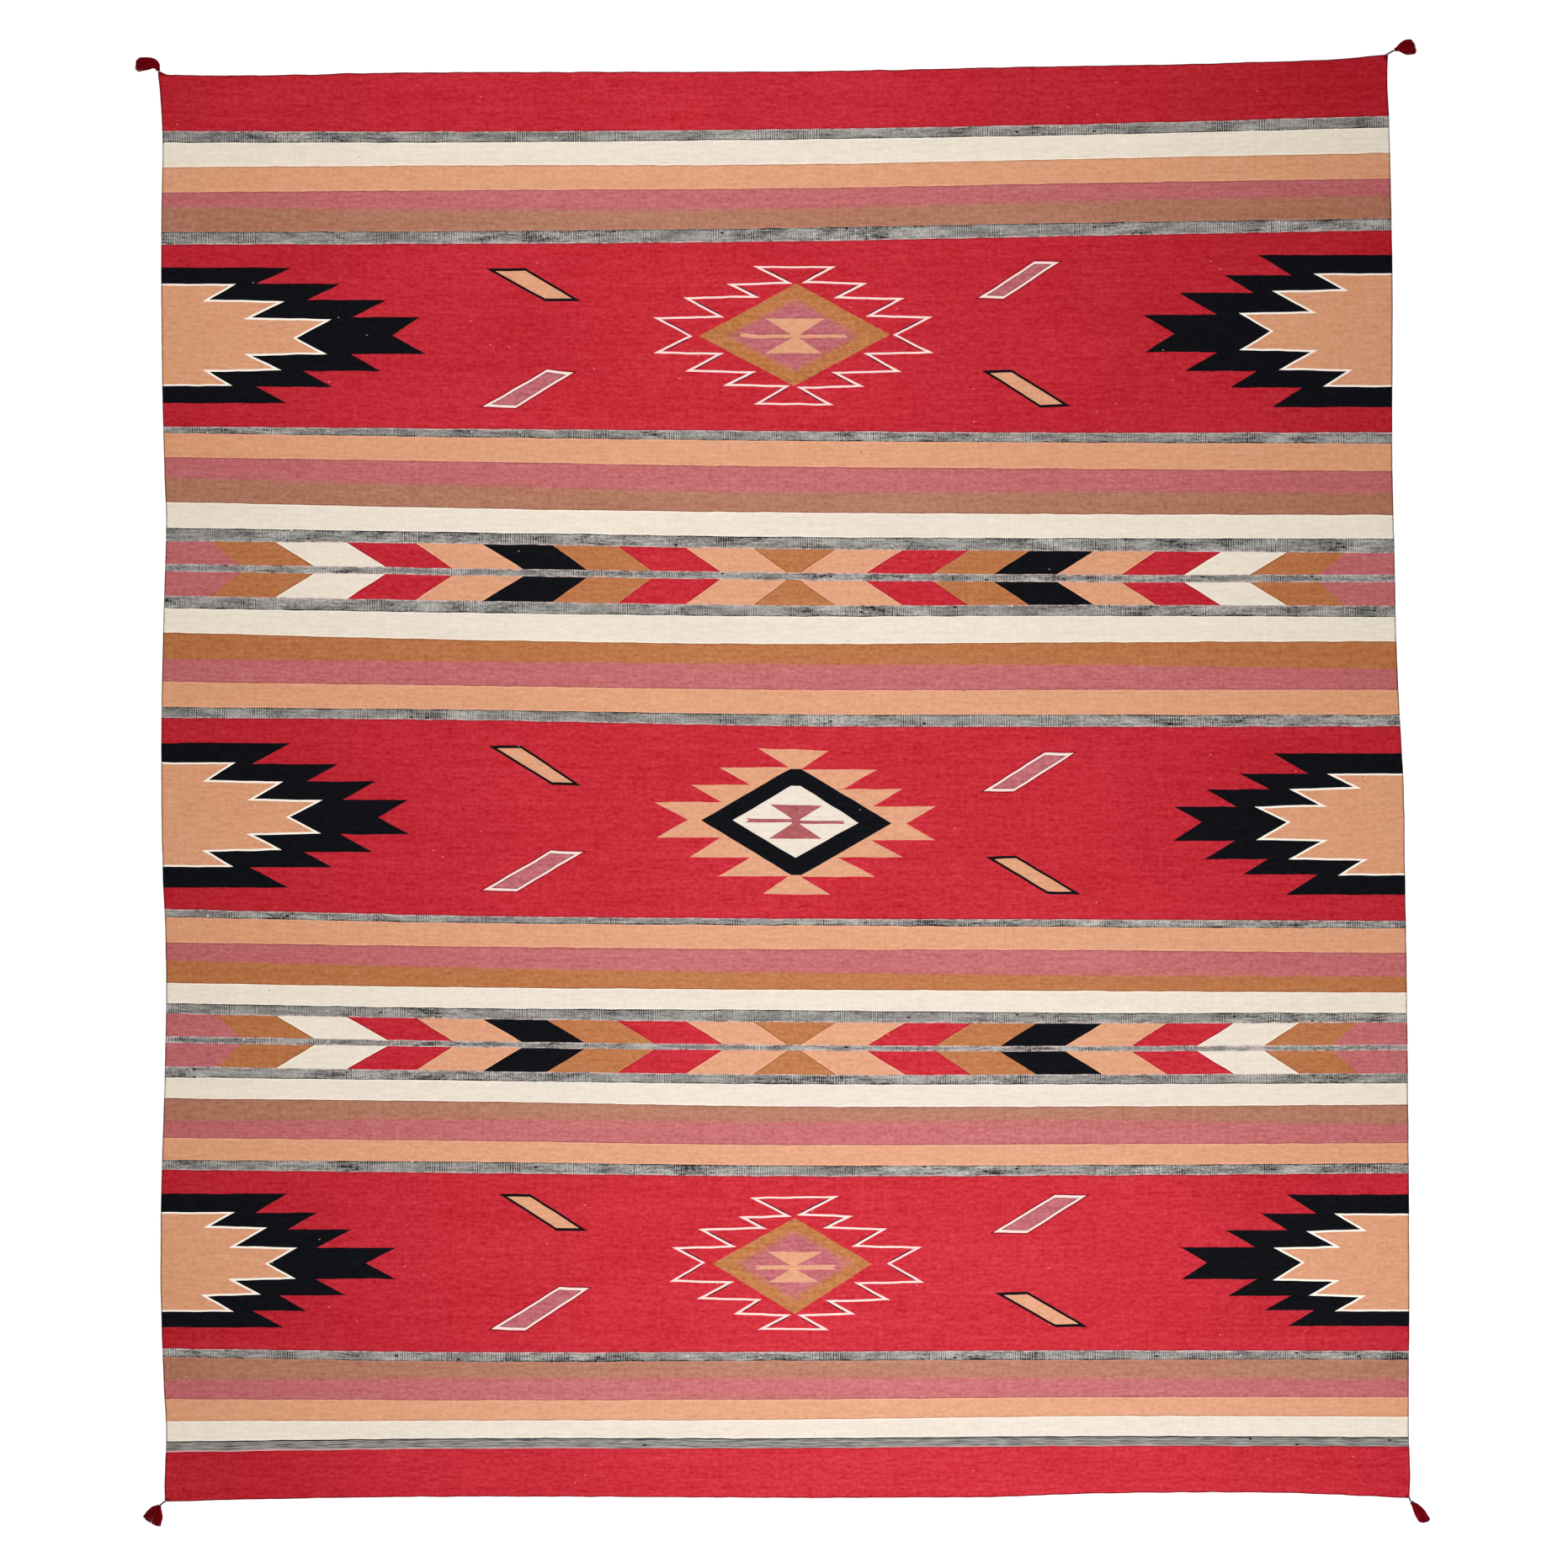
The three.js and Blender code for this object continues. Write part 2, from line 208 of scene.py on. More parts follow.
# One side of each serrated diamond, read off the photo from its top step down. A step goes out
# along its level to the tip, and the slant after it comes back to the next notch. The middle
# level has its notch alone. Reaches are from the side line, or from the middle motif's axis.
SERRATED_SIDES = {
    "top left ground": (
        (1147, 1111, 1075, 1037, 996, 955, 917, 882, 846),
        (283, 392, 495, 569, 581, 481, 375, 272),
        (208, 321, 421, 510, 418, 313, 208),
    ),
    "top left core": (
        (1111, 1072, 1032, 990, 955, 919, 884),
        (160, 268, 372, 362, 261, 152),
        (89, 180, 289, 180, 89),
    ),
    "top right ground": (
        (1175, 1130, 1091, 1042, 1000, 959, 917, 880, 837),
        (324, 399, 501, 579, 575, 487, 386, 293),
        (253, 337, 418, 513, 418, 330, 229),
    ),
    "top right core": (
        (1134, 1095, 1046, 1005, 964, 920, 882),
        (201, 293, 367, 366, 278, 180),
        (126, 197, 293, 195, 117),
    ),
    "middle left ground": (
        (91, 44, 6, -35, -74, -112, -151, -185, -230),
        (281, 387, 471, 543, 545, 464, 374, 277),
        (199, 320, 400, 479, 394, 314, 193),
    ),
    "middle left core": (
        (48, 5, -36, -74, -110, -147, -184),
        (159, 265, 352, 349, 262, 154),
        (89, 188, 274, 185, 87),
    ),
    "middle right ground": (
        (68, 23, -12, -50, -85, -126, -167, -201, -246),
        (291, 365, 440, 510, 513, 444, 358, 263),
        (216, 301, 375, 452, 379, 305, 195),
    ),
    "middle right core": (
        (23, -11, -50, -85, -124, -167, -203),
        (171, 255, 332, 328, 257, 147),
        (98, 175, 255, 171, 83),
    ),
    "bottom left ground": (
        (-910, -952, -989, -1030, -1064, -1099, -1136, -1170, -1207),
        (274, 341, 417, 515, 515, 402, 317, 266),
        (206, 278, 342, 451, 340, 259, 200),
    ),
    "bottom left core": (
        (-951, -985, -1030, -1065, -1099, -1134, -1172),
        (158, 229, 296, 293, 215, 155),
        (90, 147, 227, 145, 84),
    ),
    "bottom right ground": (
        (-912, -954, -991, -1029, -1063, -1100, -1137, -1169, -1204),
        (261, 318, 396, 496, 494, 392, 311, 258),
        (197, 262, 334, 441, 330, 254, 202),
    ),
    "bottom right core": (
        (-954, -993, -1030, -1063, -1102, -1136, -1171),
        (155, 217, 290, 291, 212, 154),
        (85, 143, 223, 145, 87),
    ),
    "top west": (
        (1150, 1111, 1081, 1036, 995, 957, 916, 885, 843),
        (90, 149, 245, 311, 311, 241, 157, 88),
        (5, 78, 157, 227, 157, 85, 10),
    ),
    "top east": (
        (1150, 1113, 1079, 1038, 997, 957, 915, 882, 841),
        (88, 158, 241, 303, 305, 234, 151, 83),
        (15, 86, 157, 218, 152, 81, 4),
    ),
    "middle west": (
        (79, 37, -2, -40, -80, -119, -163, -205, -244),
        (78, 165, 227, 309, 305, 231, 167, 68),
        (13, 99, 163, 237, 165, 99, 14),
    ),
    "middle east": (
        (74, 32, -11, -50, -88, -125, -163, -206, -246),
        (72, 180, 236, 310, 309, 237, 175, 76),
        (13, 107, 173, 248, 169, 96, 13),
    ),
    "bottom west": (
        (-918, -961, -988, -1029, -1063, -1105, -1144, -1178, -1212),
        (97, 122, 212, 270, 275, 215, 133, 79),
        (7, 62, 130, 199, 134, 73, 8),
    ),
    "bottom east": (
        (-915, -958, -987, -1028, -1065, -1107, -1147, -1178, -1213),
        (95, 126, 202, 280, 284, 209, 132, 73),
        (4, 62, 126, 205, 131, 68, 5),
    ),
}

# The plain diamonds inside the middle motifs: yarn, then the points from the top, anticlockwise
DIAMONDS = {
    "top": [
        ("olive", (27, 1112), (-188, 995), (22, 884), (236, 998)),
        ("mauve", (26, 1076), (-127, 995), (24, 917), (165, 996)),
    ],
    "middle": [
        ("black", (37, 34), (14, 34), (-184, -80), (17, -203), (38, -203), (239, -87)),
        ("cream", (37, -4), (16, -4), (-114, -81), (26, -164), (165, -86)),
    ],
    "bottom": [
        ("olive", (24, -964), (-159, -1065), (24, -1177), (195, -1066)),
        ("mauve", (23, -994), (-101, -1066), (21, -1143), (150, -1064)),
    ],
}

# The hourglass in each middle motif and the two bars that run out from its waist, each
# anticlockwise from its upper left point. A bar ends in a slant or a fishtail.
HOURGLASSES = {
    "top": {
        "yarn": "peach",
        "body": ((-43, 1034), (19, 997), (19, 991), (-42, 957), (84, 957), (33, 991), (33, 997),
                 (90, 1034)),
        "left bar": ((-94, 1002), (-99, 993.6), (-50, 989), (19, 991), (19, 998), (-50, 997)),
        "right bar": ((33, 997.6), (33, 990.5), (143, 991), (133, 998.3)),
    },
    "middle": {
        "yarn": "dusky rose",
        "body": ((-31, -45), (17, -77), (17, -88), (-34, -121), (84, -122), (35, -88), (35, -79),
                 (85, -48)),
        "left bar": ((-86, -77), (-78, -81), (-86, -86), (17, -85), (17, -78)),
        "right bar": ((35, -80.4), (35, -87.6), (136, -89.4), (130, -85.7), (136, -82.6)),
    },
    "bottom": {
        "yarn": "peach",
        "body": ((-38, -1039), (14, -1068), (11, -1080), (-35, -1108), (78, -1107), (30, -1080),
                 (27, -1068), (86, -1039)),
        "left bar": ((-65, -1069), (-59, -1073), (-65, -1078), (14, -1078), (14, -1069)),
        "right bar": ((27, -1068.5), (27, -1078.4), (116, -1078.4), (108, -1072.5), (116, -1067.5)),
    },
}

# The small leaning bars: outline yarn, core yarn, then the left and right corners of the upper
# edge and of the lower edge
LEANING_BARS = [
    ("black", "peach", (-663, 1145), (-575, 1146), (-530, 1072), (-450, 1072)),
    ("blush", "mauve", (-526, 920), (-468, 914), (-669, 838), (-596, 835)),
    ("blush", "mauve", (556, 1160), (612, 1160), (432, 1079), (487, 1078)),
    ("black", "peach", (439, 918), (506, 920), (569, 836), (637, 839)),
    ("black", "peach", (-657, 85), (-584, 86), (-515, -2), (-450, -4)),
    ("blush", "mauve", (-517, -148), (-446, -151), (-669, -236), (-594, -238)),
    ("blush", "mauve", (579, 70), (644, 69), (443, -16), (511, -16)),
    ("black", "peach", (448, -162), (515, -159), (586, -245), (660, -245)),
    ("black", "peach", (-634, -910), (-564, -910), (-506, -992), (-436, -993)),
    ("blush", "mauve", (-498, -1117), (-433, -1120), (-650, -1211), (-575, -1214)),
    ("blush", "mauve", (601, -913), (672, -914), (465, -996), (539, -998)),
    ("black", "peach", (468, -1130), (540, -1127), (603, -1206), (675, -1206)),
]


def smooth_line(rows):
    """A smooth line through (place, reach) rows, as a function of the place."""
    places, reaches = (np.array(column, float) for column in zip(*rows))
    slopes = np.gradient(reaches, places)

    def reach_at(place):
        place = np.asarray(place, float)
        i = np.clip(np.searchsorted(places, place) - 1, 0, len(places) - 2)
        gap = places[i + 1] - places[i]
        t = (place - places[i]) / gap
        return (
            reaches[i] * (1 + 2 * t) * (1 - t) ** 2
            + slopes[i] * gap * t * (1 - t) ** 2
            + reaches[i + 1] * t * t * (3 - 2 * t)
            + slopes[i + 1] * gap * t * t * (t - 1)
        )

    return reach_at


def spaced(start, end, step):
    """Places from start to end, about a step apart, both ends included."""
    return np.linspace(start, end, max(2, int(abs(end - start) / step) + 1))


# The cloth's outline and stripes

def cloth_outline():
    """The cloth's edge as points, anticlockwise from the bottom left corner."""
    low_left, low_right = CORNERS["bottom_left"], CORNERS["bottom_right"]
    high_left, high_right = CORNERS["top_left"], CORNERS["top_right"]
    left = smooth_line([low_left[::-1], *LEFT_SELVEDGE, high_left[::-1]])
    right = smooth_line([low_right[::-1], *RIGHT_SELVEDGE, high_right[::-1]])
    top = smooth_line([high_left, *TOP_END, high_right])
    bottom = smooth_line([low_left, *BOTTOM_END, low_right])
    points = [(x, float(bottom(x))) for x in spaced(low_left[0], low_right[0], EDGE_STEP)[:-1]]
    points += [(float(right(y)), y) for y in spaced(low_right[1], high_right[1], EDGE_STEP)[:-1]]
    points += [(x, float(top(x))) for x in spaced(high_right[0], high_left[0], EDGE_STEP)[:-1]]
    points += [(float(left(y)), y) for y in spaced(high_left[1], low_left[1], EDGE_STEP)[:-1]]
    return np.array(points)


def outward_normals(loop):
    """The outward direction at each point of an anticlockwise loop."""
    along = np.roll(loop, -1, 0) - np.roll(loop, 1, 0)
    along /= np.linalg.norm(along, axis=1)[:, None]
    return np.stack([along[:, 1], -along[:, 0]], 1)


STRIPE_EDGES = [smooth_line(list(zip(STATIONS, row[1:]))) for row in STRIPES]
STRIPE_YARNS = [row[0] for row in STRIPES]
STRIPE_SPAN = 1440  # the stripes are drawn past the selvedges and cut by the outline
STRIPE_BASE = smooth_line(list(zip(STATIONS, (-1700,) * 5)))


def stripe_polygon(index):
    across = spaced(-STRIPE_SPAN, STRIPE_SPAN, WEFT_STEP)
    upper = STRIPE_EDGES[index](across)
    last = index == len(STRIPES) - 1
    lower = (STRIPE_BASE if last else STRIPE_EDGES[index + 1])(across)
    return list(zip(across, lower)) + list(zip(across[::-1], upper[::-1]))


# The motifs

def serrated_side(chart):
    """The points of one serrated side as (reach, along), from the top down."""
    levels, tips, notches = chart
    tips = [tip + TIP_REACH for tip in tips]
    middle = len(levels) // 2
    points = [(tips[0], levels[0])]
    for i in range(1, middle):
        points += [(notches[i - 1], levels[i]), (tips[i], levels[i])]
    points.append((notches[middle - 1], levels[middle]))
    for i in range(middle + 1, len(levels) - 1):
        points += [(tips[i - 1], levels[i]), (notches[i - 1], levels[i])]
    points.append((tips[-1], levels[-1]))
    return points


def half_diamond(name):
    """A half diamond at a selvedge, anticlockwise, drawn past the selvedge."""
    side = serrated_side(SERRATED_SIDES[name])
    side = [(-PAST_SELVEDGE, side[0][1]), *side, (-PAST_SELVEDGE, side[-1][1])]
    if "left" in name:
        return [(reach - SIDE_LINE, along) for reach, along in reversed(side)]
    return [(SIDE_LINE - reach, along) for reach, along in side]


def middle_diamond(name):
    """A whole serrated diamond about the midline, anticlockwise."""
    west = serrated_side(SERRATED_SIDES[name + " west"])
    east = serrated_side(SERRATED_SIDES[name + " east"])
    down = [(MIDLINE - reach, along) for reach, along in west]
    up = [(MIDLINE + reach, along) for reach, along in reversed(east)]
    return down + up


def shifted_corner(before, corner, after, shift_in, shift_out):
    """Where the two edges at a corner meet once each has moved to its left by its own shift."""
    first, second = corner - before, after - corner
    first, second = first.normalized(), second.normalized()
    a = corner + Vector((-first.y, first.x)) * shift_in
    b = corner + Vector((-second.y, second.x)) * shift_out
    turn = first.x * second.y - first.y * second.x
    if abs(turn) < 0.02:
        return a
    gap = b - a
    return a + first * ((gap.x * second.y - gap.y * second.x) / turn)


def outlined(points, widths):
    """The outer and inner loop of a woven outline. Points are the sharp ends of its corners:
    its outermost points at the tips, and its innermost ones at the notches."""
    loop = [Vector(p) for p in points]
    count = len(loop)
    outer, inner = [], []
    for i, corner in enumerate(loop):
        before, after = loop[i - 1], loop[(i + 1) % count]
        width_in, width_out = widths[i - 1], widths[i]
        turn = (corner - before).cross(after - corner)
        if turn > 0:
            outer.append(corner)
            inner.append(shifted_corner(before, corner, after, width_in, width_out))
        else:
            outer.append(shifted_corner(before, corner, after, -width_in, -width_out))
            inner.append(corner)
    return outer, inner


class Chart:
    """The weaver's chart: closed shapes with their yarns, each laid over those before it.
    A shape may be kept to one stripe. Where two yarns fade into each other, a shape has a seam,
    a function that gives each point's distance from it, counted into the first yarn. A shape
    may also have two borders, functions that give the distance from each of two edges, counted
    as more than nothing beside a darker yarn and as less beside a lighter one."""

    def __init__(self):
        self.points, self.faces, self.yarns, self.stripes = [], [], [], []
        self.seams, self.borders = [], []

    def add(self, yarn, loop, stripe=None, step=WEFT_STEP, seam=None, borders=(None, None)):
        fine = []
        for i, (x, y) in enumerate(loop):
            next_x, next_y = loop[(i + 1) % len(loop)]
            length = math.hypot(next_x - x, next_y - y)
            parts = max(1, math.ceil(length / step))
            fine += [(x + (next_x - x) * k / parts, y + (next_y - y) * k / parts) for k in range(parts)]
        first = len(self.points)
        self.points += fine
        self.faces.append(list(range(first, first + len(fine))))
        self.yarns.append(yarn)
        self.stripes.append(stripe)
        self.seams.append(seam)
        self.borders.append(borders)


# How light each yarn looks beside another
LIGHTNESS = {
    "black": 0, "red": 1, "chevrons": 2, "lined": 3, "ticked": 3, "rose": 4, "tan": 4, "ochre": 4,
    "rose_ochre": 4, "peach": 5, "cream": 6,
}


def beside(yarn, other):
    """1 where the other yarn is darker, -1 where it is lighter and 0 where they are alike."""
    return (LIGHTNESS[yarn] > LIGHTNESS[other]) - (LIGHTNESS[yarn] < LIGHTNESS[other])


def stripe_borders(index):
    """The distances from a stripe's upper and lower edges."""
    yarn = STRIPE_YARNS[index]
    borders = [None, None]
    if index > 0:
        above, upper = beside(yarn, STRIPE_YARNS[index - 1]), STRIPE_EDGES[index]
        borders[0] = (lambda x, y: above * (upper(x) - y)) if above else None
    if index < len(STRIPES) - 1:
        below, lower = beside(yarn, STRIPE_YARNS[index + 1]), STRIPE_EDGES[index + 1]
        borders[1] = (lambda x, y: below * (y - lower(x))) if below else None
    return borders


def stripe_seam(index):
    """The yarn pair and the seam of a stripe that fades into its neighbour, or its own yarn.
    A lined stripe counts from its upper edge."""
    yarn = STRIPE_YARNS[index]
    if yarn == "lined":
        upper = STRIPE_EDGES[index]
        return yarn, lambda x, y: upper(x) - y
    for neighbour, edge in ((index - 1, index), (index + 1, index + 1)):
        if not 0 <= neighbour < len(STRIPES):
            continue
        pair = (yarn, STRIPE_YARNS[neighbour])
        if "rose" in pair and ("tan" in pair or "ochre" in pair):
            rose_above = (yarn == "rose") == (neighbour > index)
            side = 1 if rose_above else -1
            other = pair[1] if yarn == "rose" else yarn
            line = STRIPE_EDGES[edge]
            return "rose_" + other, lambda x, y: side * (y - line(x))
    return yarn, None


def slanted_seam(start, end, side):
    """The distance from the line through two points, counted to its right or its left."""
    run = (end - start).normalized()
    return lambda x, y: side * ((x - start.x) * run.y - (y - start.y) * run.x)


def diamond_seam(points):
    """The distance from a diamond's edge, counted inwards."""
    loop = [Vector(p) for p in points]
    edges = [slanted_seam(a, b, -1) for a, b in zip(loop, loop[1:] + loop[:1])]
    return lambda x, y: np.minimum.reduce([edge(x, y) for edge in edges])


def add_chevrons(chart, band):
    for stripe, upwards in ((band["upper"], True), (band["lower"], False)):
        top, bottom = STRIPE_EDGES[stripe], STRIPE_EDGES[stripe + 1]
        high, low = (band["outer"], band["inner"]) if upwards else (band["inner"], band["outer"])
        seams = []
        for high_x, low_x in zip(high, low):
            start = Vector((high_x, float(top(high_x))))
            end = Vector((low_x, float(bottom(low_x))))
            past = (end - start) * 0.15
            seams.append((start - past, end + past))
        far = STRIPE_SPAN - 5
        first, last = slanted_seam(*seams[0], 1), slanted_seam(*seams[-1], -1)
        fades = [first, first] + [None] * (len(CHEVRON_YARNS) - 4) + [last, last]
        seams = [(Vector((-far, seams[0][0].y)), Vector((-far, seams[0][1].y))), *seams]
        seams.append((Vector((far, seams[-1][0].y)), Vector((far, seams[-1][1].y))))
        yarns = ["rose_ochre" if fade else yarn for yarn, fade in zip(CHEVRON_YARNS, fades)]
        for i, (yarn, fade, (a, b), (c, d)) in enumerate(zip(yarns, fades, seams, seams[1:])):
            left = beside(yarn, yarns[max(i - 1, 0)])
            right = beside(yarn, yarns[min(i + 1, len(yarns) - 1)])
            borders = (
                slanted_seam(a, b, -left) if left else None,
                slanted_seam(c, d, right) if right else None,
            )
            chart.add(yarn, [a, b, d, c], stripe, seam=fade, borders=borders)


def add_hourglass(chart, row):
    for part in ("body", "left bar", "right bar"):
        chart.add(row["yarn"], row[part])


def outline_widths(loop, level, slant):
    """The width of a woven outline over each edge: level edges show more yarn than slants."""
    ends = loop[1:] + loop[:1]
    return [
        level if abs(y - v) < LEVEL_SLOPE * abs(x - u) else slant for (x, y), (u, v) in zip(loop, ends)
    ]


def add_slits(chart, loop, width):
    """The narrow shadows of the slits that open inside an outline's slants."""
    for a, b in zip(loop, loop[1:] + loop[:1]):
        run = b - a
        if abs(run.y) > LEVEL_SLOPE * abs(run.x):
            inward = Vector((-run.y, run.x)).normalized() * width
            start, end = a + run * 0.08, b - run * 0.08
            chart.add("shadow", [start, end, end - run * 0.1 + inward, start + run * 0.1 + inward])


def draw_chart():
    chart = Chart()
    for index in range(len(STRIPES)):
        yarn, seam = stripe_seam(index)
        chart.add(yarn, stripe_polygon(index), step=1000, seam=seam, borders=stripe_borders(index))
    for band in CHEVRON_BANDS:
        add_chevrons(chart, band)
    for name in SERRATED_SIDES:
        if "ground" in name:
            chart.add("black", half_diamond(name))
        elif "core" in name:
            loop = half_diamond(name)
            outer, inner = outlined(loop, outline_widths(loop, *HALF_OUTLINE))
            chart.add("white", outer)
            chart.add("peach", inner)
    for name in ("top", "middle", "bottom"):
        loop = middle_diamond(name)
        if name == "middle":
            chart.add("peach", loop)
        else:
            outer, inner = outlined(loop, outline_widths(loop, *MIDDLE_OUTLINE))
            chart.add("blush", outer)
            chart.add("red", inner)
            add_slits(chart, inner, SLIT_WIDTH)
        ground, core = DIAMONDS[name]
        if ground[0] == "olive":
            seam = diamond_seam(core[1:])
            chart.add("mauve_olive", ground[1:], seam=seam)
            chart.add("mauve_olive", core[1:], seam=seam)
        else:
            chart.add(ground[0], ground[1:])
            chart.add(core[0], core[1:])
        add_hourglass(chart, HOURGLASSES[name])
    for outline, core, high_left, high_right, low_left, low_right in LEANING_BARS:
        loop = [high_left, low_left, low_right, high_right]
        outer, inner = outlined(loop, outline_widths(loop, *BAR_OUTLINES[outline]))
        if outline == "blush":
            # Painted shade: a deep red ring round the pale bar
            chart.add("deep red", outlined(outer, [-BAR_HALO] * 4)[1])
        chart.add(outline, outer)
        if core == "mauve":
            chart.add("shadow", inner)
            inner = outlined(inner, [BAR_SHADOW] * 4)[1]
        chart.add(core, inner)
    for name, points in CORNER_STITCHES.items():
        corner = Vector(CORNERS[name])
        chart.add("deep red", [corner + Vector(point) for point in points])
    return chart


# The cloth's mesh

# Left alone, Blender's vector noise starts from the clock and the cloth would differ each run
noise.seed_set(NOISE_SEED)


def wander(x, y):
    """How far a point of the cloth strays in its plane, as (across, along)."""
    slow = noise.noise_vector(Vector((x / 46, y / 46, 3.1)))
    quick = noise.noise_vector(Vector((x / 19, y / 19, 8.7)))
    return 0.5 * slow.x + 0.2 * quick.x, 1.3 * slow.y + 0.5 * quick.y


def lift(x, y):
    """How far the cloth stands off the floor: slow soft waves, none of them deep."""
    wave = noise.noise(Vector((x / 420, y / 260, 1.7))) + 0.5 * noise.noise(Vector((x / 150, y / 110, 5.2)))
    return LIFT * max(0.0, min(1.0, 0.35 + wave))


def weave_coordinates(points):
    """Where each point lies in the weave, in metres: across the warps, and along them with the
    stripes pulled straight."""
    middle = np.array([float(edge(0)) for edge in STRIPE_EDGES])
    edges = np.stack([edge(points[:, 0]) for edge in STRIPE_EDGES], 1)
    straight = np.empty(len(points))
    for i, along in enumerate(points[:, 1]):
        shift = np.interp(along, edges[i, 1:][::-1], (middle - edges[i])[1:][::-1])
        straight[i] = along + shift
    return np.stack([points[:, 0], straight], 1) * MM


def yarn_regions(chart, outline):
    """The cloth's face as triangles, each with the shape of the chart that it belongs to."""
    inset = outline - outward_normals(outline) * EDGE_ROUND
    points = [tuple(p) for p in inset] + chart.points
    # A ring of points inside the edge, so that the painted edge shade stays narrow
    points += [tuple(p) for p in outline - outward_normals(outline) * (EDGE_ROUND + EDGE_BAND)]
    shift = len(inset)
    loops = [list(range(shift))] + [[i + shift for i in face] for face in chart.faces]
    low, high = outline.min(0) + FACE_STEP, outline.max(0) - FACE_STEP
    for row, y in enumerate(np.arange(low[1], high[1], FACE_STEP * 0.87)):
        for x in np.arange(low[0] + (row % 2) * FACE_STEP / 2, high[0], FACE_STEP):
            points.append((x, y))
    flat, _, triangles, _, _, origins = delaunay_2d_cdt(
        [Vector(p) for p in points], [], loops, 1, 0.02, True
    )
    kept, shapes = [], []
    for triangle, origin in zip(triangles, origins):
        if 0 not in origin:
            continue
        laid = sorted(face - 1 for face in origin if face > 0)
        stripe = max(s for s in laid if s < len(STRIPES))
        kept.append(triangle)
        shapes.append([s for s in laid if chart.stripes[s] in (None, stripe)][-1])
    used = sorted({i for triangle in kept for i in triangle})
    place = {old: new for new, old in enumerate(used)}
    kept = np.array([[place[i] for i in triangle] for triangle in kept])
    flat = np.array([flat[i] for i in used])
    a, b, c = (flat[kept[:, i]] for i in range(3))
    turned = (b - a)[:, 0] * (c - a)[:, 1] - (b - a)[:, 1] * (c - a)[:, 0] < 0
    kept[turned] = kept[turned][:, ::-1]
    return flat, kept, np.array(shapes)


def boundary(triangles):
    """The edges with one triangle only, as {start: (end, triangle)}, anticlockwise."""
    edges = {}
    for index, (a, b, c) in enumerate(triangles.tolist()):
        for start, end in ((a, b), (b, c), (c, a)):
            if (end, start) in edges:
                del edges[end, start]
            else:
                edges[start, end] = index
    return {start: (end, index) for (start, end), index in edges.items()}


def edge_distances(points, loop):
    """How far each point lies from a closed loop of points."""
    nearest = np.full(len(points), 1e9)
    for start, end in zip(loop, np.roll(loop, -1, 0)):
        run = end - start
        share = np.clip((points - start) @ run / (run @ run), 0, 1)
        gap = points - start - share[:, None] * run
        nearest = np.minimum(nearest, np.einsum("ij,ij->i", gap, gap))
    return np.sqrt(nearest)


